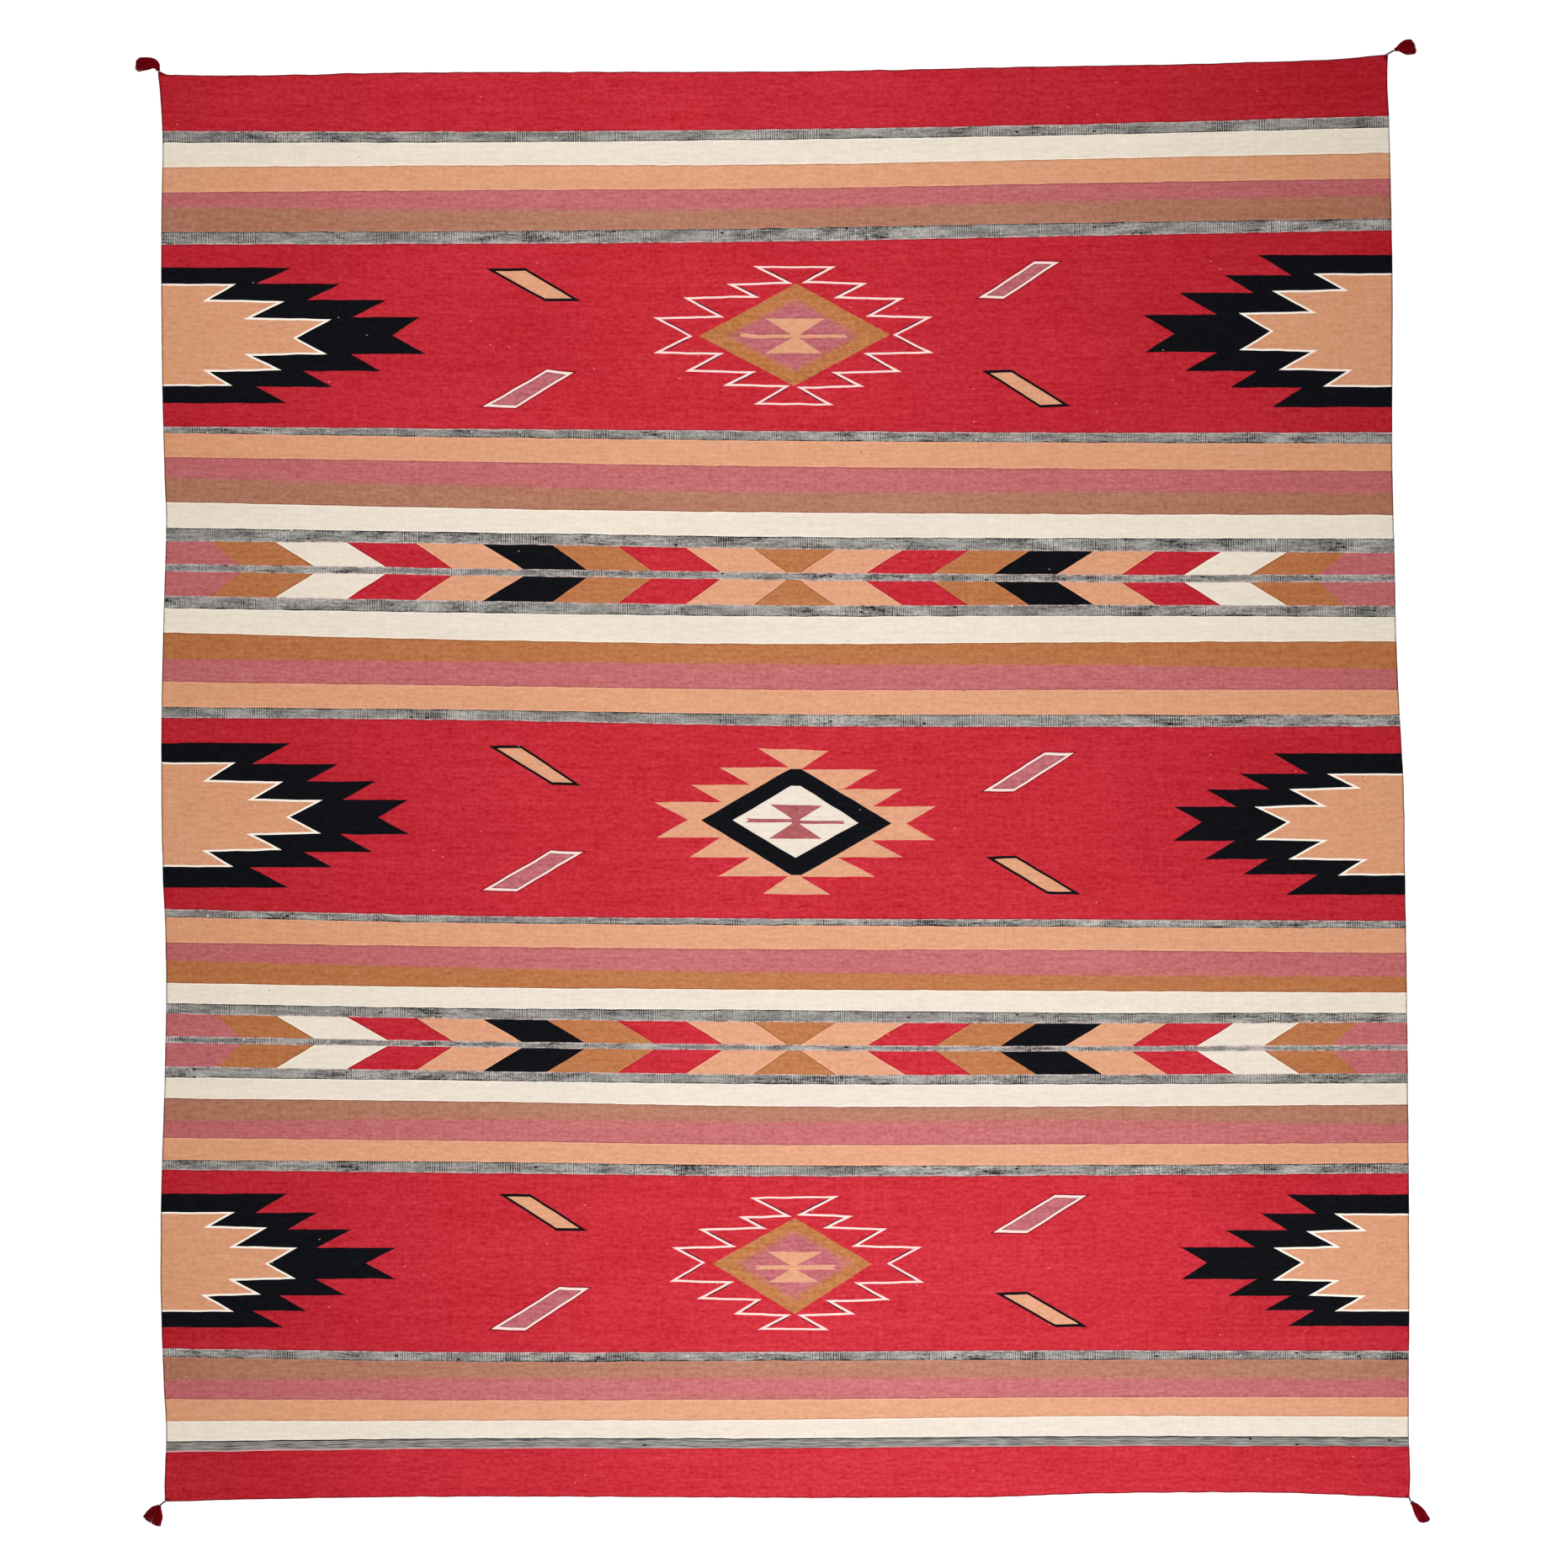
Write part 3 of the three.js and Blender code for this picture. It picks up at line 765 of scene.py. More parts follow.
def make_cloth(chart, materials):
    flat, triangles, shapes = yarn_regions(chart, cloth_outline())
    rim = boundary(triangles)
    start = next(iter(rim))
    ring, here = [start], rim[start][0]
    while here != start:
        ring.append(here)
        here = rim[here][0]
    normals = outward_normals(flat[ring])
    strays = np.array([wander(x, y) for x, y in flat])
    lifts = np.array([lift(x, y) for x, y in flat])
    weave = weave_coordinates(flat)
    face_count, ring_count = len(flat), len(ring)

    # The vertices: the upper face, the lower face, then the rings of the rounded rim
    upper = np.column_stack([flat + strays, lifts + THICKNESS])
    lower = np.column_stack([flat + strays, lifts])
    rings = []
    for k in range(1, RIM_STEPS):
        angle = math.pi * k / RIM_STEPS
        out = flat[ring] + strays[ring] + normals * EDGE_ROUND * math.sin(angle)
        rings.append(np.column_stack([out, lifts[ring] + THICKNESS / 2 * (1 + math.cos(angle))]))
    vertices = np.concatenate([upper, lower, *rings])

    def ring_vertex(k, i):
        if k == 0:
            return ring[i]
        if k == RIM_STEPS:
            return ring[i] + face_count
        return 2 * face_count + (k - 1) * ring_count + i

    faces = triangles.tolist() + (triangles[:, ::-1] + face_count).tolist()
    face_shapes = shapes.tolist() * 2
    weave_corners = [weave[triangles].reshape(-1, 2), weave[triangles[:, ::-1]].reshape(-1, 2)]
    bake_corners = list(weave_corners)
    seam_corners = [flat[triangles].reshape(-1, 2), flat[triangles[:, ::-1]].reshape(-1, 2)]
    rim_weave, rim_flat, rim_bake = [], [], []
    for i in range(ring_count):
        j = (i + 1) % ring_count
        for k in range(RIM_STEPS):
            faces.append([ring_vertex(k, i), ring_vertex(k + 1, i), ring_vertex(k + 1, j), ring_vertex(k, j)])
            face_shapes.append(int(shapes[rim[ring[i]][1]]))
            for at, step in ((i, k), (i, k + 1), (j, k + 1), (j, k)):
                round_way = EDGE_ROUND * math.pi * step / RIM_STEPS * MM
                rim_weave.append(weave[ring[at]] + normals[at] * round_way)
                rim_bake.append(weave[ring[at]] + normals[at] * RIM_BAKE_WIDTH * MM * step / RIM_STEPS)
                rim_flat.append(flat[ring[at]])
    weave_corners = np.concatenate([*weave_corners, np.array(rim_weave)])
    bake_corners = np.concatenate([*bake_corners, np.array(rim_bake)])
    seam_corners = np.concatenate([*seam_corners, np.array(rim_flat)])
    bake_low, bake_high = bake_corners.min(0), bake_corners.max(0)
    bake_corners = (bake_corners - bake_low) / (bake_high - bake_low)

    # The faces' own normals: straight up and down, and turning over the rim
    upright = np.tile((0.0, 0.0, 1.0), (face_count, 1))
    for vertex, normal in zip(ring, normals):
        upright[vertex] = (*normal * 0.3, 0.95)
    rim_normals = []
    for k in range(1, RIM_STEPS):
        angle = math.pi * k / RIM_STEPS
        rim_normals.append(np.column_stack([normals * math.sin(angle), np.full(ring_count, math.cos(angle))]))
    vertex_normals = np.concatenate([upright, upright * (1, 1, -1), *rim_normals])

    mesh = bpy.data.meshes.new("rug")
    mesh.from_pydata((vertices * MM).tolist(), [], faces)
    for name, corners in (("Weave", weave_corners), ("OFBake", bake_corners)):
        layer = mesh.uv_layers.new(name=name)
        layer.uv.foreach_set("vector", corners.astype(np.float32).ravel())
    corner_shape = np.repeat(np.array(face_shapes), [len(face) for face in faces])
    # seam_distance: where two yarns fade into each other; the two borders: where painted shade and highlight
    # go along stripe edges
    distances = {
        "seam_distance": chart.seams,
        "first_border": [pair[0] for pair in chart.borders],
        "second_border": [pair[1] for pair in chart.borders],
    }
    for name, measures in distances.items():
        values = np.full(len(corner_shape), 1.0, np.float32)
        for shape, measure in enumerate(measures):
            if measure:
                mine = corner_shape == shape
                x, y = seam_corners[mine].T
                values[mine] = measure(x, y) * MM
        mesh.attributes.new(name, "FLOAT", "CORNER").data.foreach_set("value", values)
    slots = sorted(set(chart.yarns[s] for s in face_shapes))
    for yarn in slots:
        mesh.materials.append(materials[yarn])
    mesh.polygons.foreach_set("material_index", [slots.index(chart.yarns[s]) for s in face_shapes])
    mesh.polygons.foreach_set("use_smooth", [True] * len(faces))
    mesh.update()
    mesh.normals_split_custom_set_from_vertices(vertex_normals.tolist())
    # How far each point lies from the edge, for the painted edge shade; the rim's rings count as at the edge
    edge_distance = np.zeros(len(vertices))
    edge_distance[:2 * face_count] = np.tile(edge_distances(flat, flat[ring]), 2) * MM
    mesh.attributes.new("edge_distance", "FLOAT", "POINT").data.foreach_set("value", edge_distance)
    rug = bpy.data.objects.new("rug", mesh)
    bpy.context.scene.collection.objects.link(rug)
    return rug


# Shader nodes

def colour(red, green, blue):
    """A colour as seen on a screen, from 0 to 255, as the shader's linear one."""
    parts = [c / 255 for c in (red, green, blue)]
    linear = [c / 12.92 if c <= 0.04045 else ((c + 0.055) / 1.055) ** 2.4 for c in parts]
    return (*linear, 1.0)


class Nodes:
    """Short ways to place and join the nodes of one tree."""

    def __init__(self, tree):
        self.tree = tree

    def place(self, kind, settings=None, **inputs):
        node = self.tree.nodes.new("ShaderNode" + kind)
        for name, value in (settings or {}).items():
            setattr(node, name, value)
        for name, value in inputs.items():
            self.feed(node.inputs[name.replace("_", " ")], value)
        return node

    def feed(self, socket, value):
        if isinstance(value, bpy.types.NodeSocket):
            self.tree.links.new(value, socket)
        else:
            socket.default_value = value

    def math(self, operation, *values, clamp=False):
        node = self.place("Math", {"operation": operation, "use_clamp": clamp})
        for socket, value in zip(node.inputs, values):
            self.feed(socket, value)
        return node.outputs[0]

    def stretched(self, vector, across, along):
        """The vector with its two parts scaled, so that a noise on it is longer one way."""
        node = self.place("VectorMath", {"operation": "MULTIPLY"})
        self.feed(node.inputs[0], vector)
        node.inputs[1].default_value = (across, along, 1)
        return node.outputs[0]

    def noise(self, vector, across, along, detail=0.0, shift=0.0):
        """A noise from 0 to 1 with about that many waves to the metre each way."""
        moved = self.place("VectorMath", {"operation": "ADD"})
        self.feed(moved.inputs[0], self.stretched(vector, across, along))
        moved.inputs[1].default_value = (shift, shift * 1.7, 0)
        node = self.place(
            "TexNoise", {"noise_dimensions": "2D"}, Vector=moved.outputs[0], Scale=1.0, Detail=detail
        )
        return node.outputs["Fac"]

    def remap(self, value, low, high, to_low=0.0, to_high=1.0, smooth=True):
        kind = "SMOOTHSTEP" if smooth else "LINEAR"
        node = self.place("MapRange", {"interpolation_type": kind}, Value=value)
        for name, bound in (("From Min", low), ("From Max", high), ("To Min", to_low), ("To Max", to_high)):
            self.feed(node.inputs[name], bound)
        return node.outputs["Result"]

    def mix(self, share, first, second, blend="MIX"):
        node = self.place("Mix", {"data_type": "RGBA", "blend_type": blend})
        for index, value in ((0, share), (6, first), (7, second)):
            self.feed(node.inputs[index], value)
        return node.outputs[2]

    def group(self, tree, **inputs):
        node = self.tree.nodes.new("ShaderNodeGroup")
        node.node_tree = tree
        for name, value in inputs.items():
            self.feed(node.inputs[name.replace("_", " ")], value)
        return node.outputs


def start_group(name, inputs, outputs):
    """A new shader node group with named sockets: its nodes, its inputs and its output node."""
    tree = bpy.data.node_groups.new(name, "ShaderNodeTree")
    for way, sockets in (("INPUT", inputs), ("OUTPUT", outputs)):
        for socket, kind in sockets:
            tree.interface.new_socket(name=socket, in_out=way, socket_type="NodeSocket" + kind)
    return Nodes(tree), tree.nodes.new("NodeGroupInput").outputs, tree.nodes.new("NodeGroupOutput").inputs


def yarn_tone_group():
    """How light a yarn is from place to place: spun thick and thin, dyed in uneven hanks."""
    amounts = ("Grain", "Streak", "Bars", "Ribs")
    nodes, given, result = start_group(
        "Yarn tone", [("Weave", "Vector")] + [(name, "Float") for name in amounts], [("Tone", "Float")]
    )
    weave = given["Weave"]
    layers = {
        "Grain": nodes.noise(weave, 95, 150, 1.0),
        "Streak": nodes.noise(weave, 24, 150, 1.0, 4.3),
        "Bars": nodes.noise(weave, 2.2, 60, 2.0, 9.1),
        "Ribs": nodes.noise(weave, 290, 7, 1.0, 14.6),
    }
    tone = 1.0
    for name in amounts:
        swing = nodes.math("MULTIPLY_ADD", layers[name], 2.0, -1.0)
        tone = nodes.math("MULTIPLY_ADD", swing, given[name], tone)
    nodes.feed(result["Tone"], tone)
    return nodes.tree


def dye_depth_group():
    """A dyed colour made lighter or deeper. Its weak channels change most, as in dyed yarn."""
    nodes, given, result = start_group(
        "Dye depth", [("Base", "Color"), ("Shade", "Float")], [("Deepened", "Color")]
    )
    parts = nodes.place("SeparateColor", Color=given["Base"]).outputs
    levels = {name: nodes.math("POWER", parts[name], 0.45) for name in ("Red", "Green", "Blue")}
    total = nodes.math("ADD", nodes.math("ADD", levels["Red"], levels["Green"]), levels["Blue"])
    deepened = {}
    for name, level in levels.items():
        strength = nodes.math("MULTIPLY", nodes.math("DIVIDE", total, level), 0.28)
        deepened[name] = nodes.math("MULTIPLY", parts[name], nodes.math("POWER", given["Shade"], strength))
    nodes.feed(result["Deepened"], nodes.place("CombineColor", **deepened).outputs[0])
    return nodes.tree


def stray_fibre_group():
    """Where the odd speck of lint, slub or knot lies: a share of many small cells."""
    nodes, given, result = start_group(
        "Stray fibres", [("Weave", "Vector"), ("Cells", "Float"), ("Share", "Float"), ("Size", "Float")],
        [("Mask", "Float")],
    )
    scaled = nodes.place("VectorMath", {"operation": "SCALE"}, Scale=given["Cells"])
    nodes.feed(scaled.inputs[0], nodes.stretched(given["Weave"], 0.5, 1.0))
    cells = nodes.place(
        "TexVoronoi", {"voronoi_dimensions": "2D"}, Vector=scaled.outputs[0], Scale=1.0, Randomness=0.9
    )
    chance = nodes.place("SeparateColor", Color=cells.outputs["Color"]).outputs["Red"]
    picked = nodes.math("LESS_THAN", chance, given["Share"])
    reach = nodes.math("MULTIPLY", given["Size"], 0.4)
    near = nodes.remap(cells.outputs["Distance"], given["Size"], reach)
    nodes.feed(result["Mask"], nodes.math("MULTIPLY", near, picked))
    return nodes.tree


def flatweave_group():
    """The relief of a weft-faced weave: each pick is a low rounded bump over every other warp."""
    nodes, given, result = start_group(
        "Flatweave relief", [("Weave", "Vector"), ("Warp pitch", "Float"), ("Weft pitch", "Float")],
        [("Height", "Float"), ("Warp wave", "Float")],
    )
    parts = nodes.place("SeparateXYZ", Vector=given["Weave"]).outputs
    warp_sway = nodes.noise(given["Weave"], 30, 5, 1.0, 2.2)
    pick_sway = nodes.noise(given["Weave"], 9, 70, 1.0, 12.2)
    warps = nodes.math("DIVIDE", parts["X"], given["Warp pitch"])
    warps = nodes.math("MULTIPLY_ADD", warp_sway, 1.6, warps)
    picks = nodes.math("DIVIDE", parts["Y"], given["Weft pitch"])
    picks = nodes.math("MULTIPLY_ADD", pick_sway, 1.4, picks)
    row = nodes.math("FLOOR", picks)
    in_pick = nodes.math("SUBTRACT", picks, row)
    wave = nodes.math("COSINE", nodes.math("MULTIPLY", nodes.math("ADD", warps, row), math.pi))
    round_pick = nodes.math("SINE", nodes.math("MULTIPLY", in_pick, math.pi))
    bump = nodes.math("MULTIPLY", nodes.math("MULTIPLY_ADD", wave, 0.3, 0.7), round_pick)
    slubs = nodes.noise(given["Weave"], 60, 320, 1.0, 6.4)
    nodes.feed(result["Height"], nodes.math("MULTIPLY_ADD", slubs, 0.7, bump))
    nodes.feed(result["Warp wave"], nodes.math("COSINE", nodes.math("MULTIPLY", warps, math.pi)))
    return nodes.tree


def soft_seam_group():
    """Where two yarns meet and fade into each other, pick by pick."""
    nodes, given, result = start_group(
        "Soft seam", [("Weave", "Vector"), ("Distance", "Float"), ("Width", "Float")], [("Share", "Float")]
    )
    heather = nodes.noise(given["Weave"], 45, 420, 2.0, 3.3)
    swing = nodes.math("SUBTRACT", heather, 0.5)
    strayed = nodes.math("MULTIPLY_ADD", swing, given["Width"], given["Distance"])
    half = nodes.math("MULTIPLY", given["Width"], 0.5)
    share = nodes.remap(strayed, nodes.math("MULTIPLY", half, -1.0), half)
    nodes.feed(result["Share"], share)
    return nodes.tree


def painted_light_pool_group():
    """Painted pools of light: how far each yarn takes its second colour, most about two places under the
    lamps, one near each end, with slow random clouds.
    """
    nodes, given, result = start_group("Painted light pool", [("Weave", "Vector")], [("Fade", "Float")])
    total = -0.94
    for across, along, reach, share in ((0.34, -1.74, 3.26, 1.66), (-0.32, 1.74, 3.24, 1.24)):
        away = nodes.place("VectorMath", {"operation": "DISTANCE"})
        nodes.feed(away.inputs[0], given["Weave"])
        away.inputs[1].default_value = (across, along, 0)
        gone = nodes.math("MULTIPLY", away.outputs["Value"], 1 / reach)
        pool = nodes.math("POWER", nodes.math("MULTIPLY_ADD", gone, gone, 1.0), -2.0)
        total = nodes.math("MULTIPLY_ADD", pool, share, total)
    clouds = nodes.noise(given["Weave"], 3.0, 5.0, 2.0, 5.0)
    spread = nodes.math("MULTIPLY_ADD", nodes.math("SUBTRACT", clouds, 0.5), 0.5, total)
    nodes.feed(result["Fade"], nodes.math("MINIMUM", nodes.math("MAXIMUM", spread, -0.3), 1.3))
    return nodes.tree


def border_group():
    """How near a place is to the edge of its stripe, beside a lighter yarn and beside a darker, for the
    painted shade and highlight there.
    """
    nodes, given, result = start_group(
        "Stripe border", [("Weave", "Vector")], [("By lighter", "Float"), ("By darker", "Float")]
    )
    swing = nodes.math("SUBTRACT", nodes.noise(given["Weave"], 70, 60, 1.0, 8.8), 0.5)
    uneven = nodes.math("MULTIPLY", swing, 0.003)
    lighter, darker = 0.0, 0.0
    for name in ("first_border", "second_border"):
        distance = nodes.place("Attribute", {"attribute_name": name}).outputs["Fac"]
        strayed = nodes.math("ADD", nodes.math("ABSOLUTE", distance), uneven)
        near = nodes.remap(strayed, 0.0034, 0.0016)
        inside = nodes.math("MULTIPLY", near, nodes.math("GREATER_THAN", distance, 0.0))
        darker = nodes.math("MAXIMUM", inside, darker)
        lighter = nodes.math("MAXIMUM", nodes.math("SUBTRACT", near, inside), lighter)
    nodes.feed(result["By lighter"], lighter)
    nodes.feed(result["By darker"], darker)
    return nodes.tree


def edge_shade_group():
    """Painted shade along the cloth's edge and over its rounded rim, darkest at the edge."""
    nodes, given, result = start_group("Edge shade", [("Weave", "Vector")], [("Shade", "Float")])
    distance = nodes.place("Attribute", {"attribute_name": "edge_distance"}).outputs["Fac"]
    uneven = nodes.noise(given["Weave"], 60, 60, 1.0, 11.0)
    strayed = nodes.math("MULTIPLY_ADD", nodes.math("SUBTRACT", uneven, 0.5), 0.002, distance)
    nodes.feed(result["Shade"], nodes.remap(strayed, 0.0004, 0.0022, EDGE_DARKNESS, 1.0))
    return nodes.tree


# The yarns: colour away from the painted pools of light, colour in the pools, and how uneven each is.
# A fit to averages over the photo gave the first colours, which were then changed by comparing.
YARNS = {
    "red": ((186, 27, 40), (215, 52, 65), 0.39, 0.29, 0.17, 0.10),
    "cream": ((262, 248, 226), (245, 232, 218), 0.08, 0.10, 0.05, 0.04),
    "peach": ((235, 166, 122), (236, 172, 137), 0.18, 0.15, 0.06, 0.06),
    "rose": ((198, 104, 107), (208, 120, 121), 0.32, 0.24, 0.12, 0.08),
    "tan": ((179, 117, 90), (192, 134, 111), 0.30, 0.22, 0.10, 0.08),
    "ochre": ((190, 114, 64), (199, 129, 84), 0.30, 0.22, 0.10, 0.08),
    "olive": ((192, 121, 64), (200, 130, 80), 0.40, 0.28, 0.14, 0.08),
    "white": ((280, 271, 258), (276, 266, 252), 0.08, 0.06, 0.02, 0.03),
    "dusky rose": ((172, 92, 96), (186, 102, 104), 0.32, 0.24, 0.12, 0.08),
    "blush": ((272, 240, 230), (268, 234, 226), 0.10, 0.08, 0.02, 0.03),
    # deep red: painted shade round the pale bars, and also the real stitches at the corners; shadow: painted
    # shadow in the slits and inside the pale bars' outlines
    "deep red": ((134, 10, 22), (150, 20, 34), 0.3, 0.3, 0.1, 0.05),
    "shadow": ((46, 13, 28), (52, 16, 32), 0.3, 0.3, 0.1, 0.05),
    "mauve": ((189, 102, 107), (202, 113, 120), 0.36, 0.30, 0.18, 0.08),
    "black": ((15, 15, 21), (17, 18, 23), 0.5, 0.4, 0.1, 0.05),
}
PAIRS = {"rose_tan": ("rose", "tan"), "rose_ochre": ("rose", "ochre"), "mauve_olive": ("mauve", "olive")}
PAIR_WIDTHS = {"rose_tan": 0.011, "rose_ochre": 0.009, "mauve_olive": 0.018}
LIGHT_LEVEL = 1.1  # how much brighter than its own colour a surface shows under the lights

dye_group = dye_depth_group()
tone_group = yarn_tone_group()
fibre_group = stray_fibre_group()
weave_group = flatweave_group()
seam_group = soft_seam_group()
light_pool_group = painted_light_pool_group()
stripe_border_group = border_group()
edge_group = edge_shade_group()


def surface(red, green, blue):
    """The colour of a surface that shows as this screen colour under the lights."""
    return (*(part * (1 / LIGHT_LEVEL) for part in colour(red, green, blue)[:3]), 1.0)


def start_cloth_material(name):
    """A matt cotton material with the weave's relief, ready for its colour."""
    material = bpy.data.materials.new(name)
    material.use_nodes = True
    nodes = Nodes(material.node_tree)
    shader = material.node_tree.nodes["Principled BSDF"]
    shader.inputs["Specular IOR Level"].default_value = 0.06
    weave = nodes.place("UVMap", {"uv_map": "Weave"}).outputs[0]
    relief = nodes.group(weave_group, Weave=weave, Warp_pitch=WARP_PITCH * MM, Weft_pitch=WEFT_PITCH * MM)
    bump = nodes.place("Bump", Strength=0.35, Distance=0.0004, Height=relief["Height"])
    nodes.feed(shader.inputs["Normal"], bump.outputs[0])
    nodes.feed(shader.inputs["Roughness"], nodes.remap(relief["Height"], 0.2, 1.5, 0.94, 0.8))
    return material, nodes, shader, weave, relief


def yarn_colour(nodes, weave, name):
    """The colour of one yarn, with the painted pools of light and its uneven tone."""
    upper, lower, grain, streak, bars, ribs = YARNS[name]
    # fade: the painted pools of light, which turn a yarn towards its second colour
    fade = nodes.group(light_pool_group, Weave=weave)["Fade"]
    base = nodes.mix(fade, surface(*upper), surface(*lower))
    tone = nodes.group(tone_group, Weave=weave, Grain=grain, Streak=streak, Bars=bars, Ribs=ribs)["Tone"]
    return nodes.group(dye_group, Base=base, Shade=tone)["Deepened"]


def with_fibres(nodes, weave, base, light=0.004, dark=0.0015):
    """The colour with a few pale specks of lint and fewer dark ones, and painted shade and highlight at the
    edges.
    """
    pale = nodes.group(fibre_group, Weave=weave, Cells=95.0, Share=light, Size=0.13)["Mask"]
    deep = nodes.group(fibre_group, Weave=weave, Cells=70.0, Share=dark, Size=0.1)["Mask"]
    speckled = nodes.mix(nodes.math("MULTIPLY", pale, 0.55), base, colour(235, 205, 190))
    knotted = nodes.mix(nodes.math("MULTIPLY", deep, 0.7), speckled, colour(35, 18, 22))
    border = nodes.group(stripe_border_group, Weave=weave)
    # Painted shade along a stripe's edge beside a lighter yarn, and a painted highlight beside a darker one
    shade = nodes.math("MULTIPLY_ADD", border["By lighter"], -0.28, 1.0)
    shade = nodes.math("MULTIPLY_ADD", border["By darker"], 0.14, shade)
    # Painted shade at the cloth's edge
    shade = nodes.math("MULTIPLY", shade, nodes.group(edge_group, Weave=weave)["Shade"])
    shaded = nodes.place("VectorMath", {"operation": "SCALE"}, Scale=shade)
    nodes.feed(shaded.inputs[0], knotted)
    return shaded.outputs[0]


def yarn_material(name):
    material, nodes, shader, weave, _ = start_cloth_material(name + " yarn")
    base = yarn_colour(nodes, weave, name)
    nodes.feed(shader.inputs["Base Color"], with_fibres(nodes, weave, base))
    return material


def pair_material(name):
    """Two yarns that fade into each other over a seam."""
    first, second = PAIRS[name]
    material, nodes, shader, weave, _ = start_cloth_material(name + " yarns")
    distance = nodes.place("Attribute", {"attribute_name": "seam_distance"}).outputs["Fac"]
    share = nodes.group(seam_group, Weave=weave, Distance=distance, Width=PAIR_WIDTHS[name])["Share"]
    base = nodes.mix(share, yarn_colour(nodes, weave, second), yarn_colour(nodes, weave, first))
    nodes.feed(shader.inputs["Base Color"], with_fibres(nodes, weave, base))
    return material


def knotted_ticking(nodes, weave, share):
    """Black picks with a share of cream ones, and black knots here and there."""
    knots = nodes.group(fibre_group, Weave=weave, Cells=58.0, Share=0.05, Size=0.17)["Mask"]
    return nodes.mix(knots, nodes.mix(share, surface(34, 35, 40), surface(236, 230, 222)), colour(18, 18, 22))


def ticked_material():
    """Black and cream picks by turns. They show as a mottle, and as upright ticks over single
    warps where they lie in step, with black knots here and there."""
    material, nodes, shader, weave, relief = start_cloth_material("ticked yarns")
    border = nodes.group(stripe_border_group, Weave=weave)
    bold = nodes.remap(nodes.noise(weave, 3, 5, 1.0, 30.0), 0.35, 0.65, 0.85, 1.45)
    share = 0.36
    for across, along, detail, shift, weight in (
        (130, 210, 1.0, 7.7, 0.42), (26, 230, 1.0, 3.1, 0.42), (12, 40, 1.0, 21.0, 0.56),
    ):
        swing = nodes.math("SUBTRACT", nodes.noise(weave, across, along, detail, shift), 0.5)
        swing = nodes.math("MULTIPLY", swing, bold)
        share = nodes.math("MULTIPLY_ADD", swing, weight, share)
    in_step = nodes.remap(nodes.noise(weave, 18, 10, 1.0, 1.9), 0.42, 0.68, 0.03, 0.24)
    uneven = nodes.remap(nodes.noise(weave, 190, 6, 0.0, 17.0), 0.3, 0.6, 0.4, 1.3)
    firm = nodes.math("MULTIPLY", in_step, uneven)
    share = nodes.math("MULTIPLY_ADD", relief["Warp wave"], firm, share)
    # More black beside a lighter stripe: painted shade
    share = nodes.math("MULTIPLY_ADD", border["By lighter"], -0.22, share, clamp=True)
    lint = nodes.group(fibre_group, Weave=weave, Cells=75.0, Share=0.02, Size=0.14)["Mask"]
    specked = nodes.mix(lint, knotted_ticking(nodes, weave, share), colour(228, 224, 216))
    # A pale pink painted highlight along the edge beside a darker stripe
    patchy = nodes.remap(nodes.noise(weave, 55, 30, 1.0, 33.0), 0.4, 0.62, 0.12, 0.75)
    border_highlight = nodes.math("MULTIPLY", border["By darker"], patchy)
    nodes.feed(shader.inputs["Base Color"], nodes.mix(border_highlight, specked, colour(228, 194, 190)))
    return material


def lined_material():
    """Black and cream picks that lie as fine wavy lines, with a pale pink pick below them."""
    material, nodes, shader, weave, _ = start_cloth_material("lined yarns")
    distance = nodes.place("Attribute", {"attribute_name": "seam_distance"}).outputs["Fac"]
    waver = nodes.math("SUBTRACT", nodes.noise(weave, 9, 30, 2.0, 2.9), 0.5)
    depth = nodes.math("MULTIPLY_ADD", waver, 0.008, distance)
    lines = nodes.math("COSINE", nodes.math("MULTIPLY", depth, 2 * math.pi / 0.0056))
    fine = nodes.math("SUBTRACT", nodes.noise(weave, 24, 300, 2.0, 5.1), 0.5)
    share = nodes.math("MULTIPLY_ADD", fine, 0.75, 0.34)
    share = nodes.math("MULTIPLY_ADD", lines, -0.11, share)
    top_line = nodes.remap(distance, 0.0036, 0.0022, 0.0, 0.42)
    share = nodes.math("SUBTRACT", share, top_line, clamp=True)
    base = knotted_ticking(nodes, weave, share)
    pale = nodes.remap(nodes.math("MULTIPLY_ADD", waver, 0.004, distance), 0.0208, 0.0222)
    nodes.feed(shader.inputs["Base Color"], nodes.mix(pale, base, colour(240, 172, 170)))
    return material


def cloth_materials():
    made = {name: yarn_material(name) for name in YARNS}
    made.update({name: pair_material(name) for name in PAIRS})
    made["ticked"] = ticked_material()
    made["lined"] = lined_material()
    return made


# Tassels and their cords

TASSELS = {
    "top_left": {
        "cord": (0.1, -1.6), "headings": (100, 186), "length": 60, "belly": 31, "end": 34, "slant": 0.06,
        "flare": 1.0,
    },
    "top_right": {
        "cord": (14.4, 8), "headings": (24, 5), "length": 46, "belly": 35, "end": 34, "slant": -0.08,
        "flare": 1.7,
    },
    "bottom_left": {
        "cord": (-9.9, -7.7), "headings": (232, 246), "length": 44.5, "belly": 41, "end": 47,
        "slant": 0.05, "flare": 1.0,
    },
    "bottom_right": {
        "cord": (3.2, -7.8), "headings": (316, 302), "length": 55, "belly": 25, "end": 26,
        "slant": 0.08, "flare": 1.0,
    },
}
STRAND_COUNT = 170
STRAND_RADIUS = 0.75
STRAND_SIDES = 5
STRAND_STEPS = 12
HEAD_RADIUS = 4.2
HEAD_LENGTH = 8.5
NECK_WIDTH = 6.6
BELLY_SHARE = 0.7  # where along its length a tassel is as wide as its belly
BINDING_RADIUS = 0.7
BINDING_TURNS = 7
BINDING_LIFT = 0.6  # how far the binding's middle lies above the head's radius
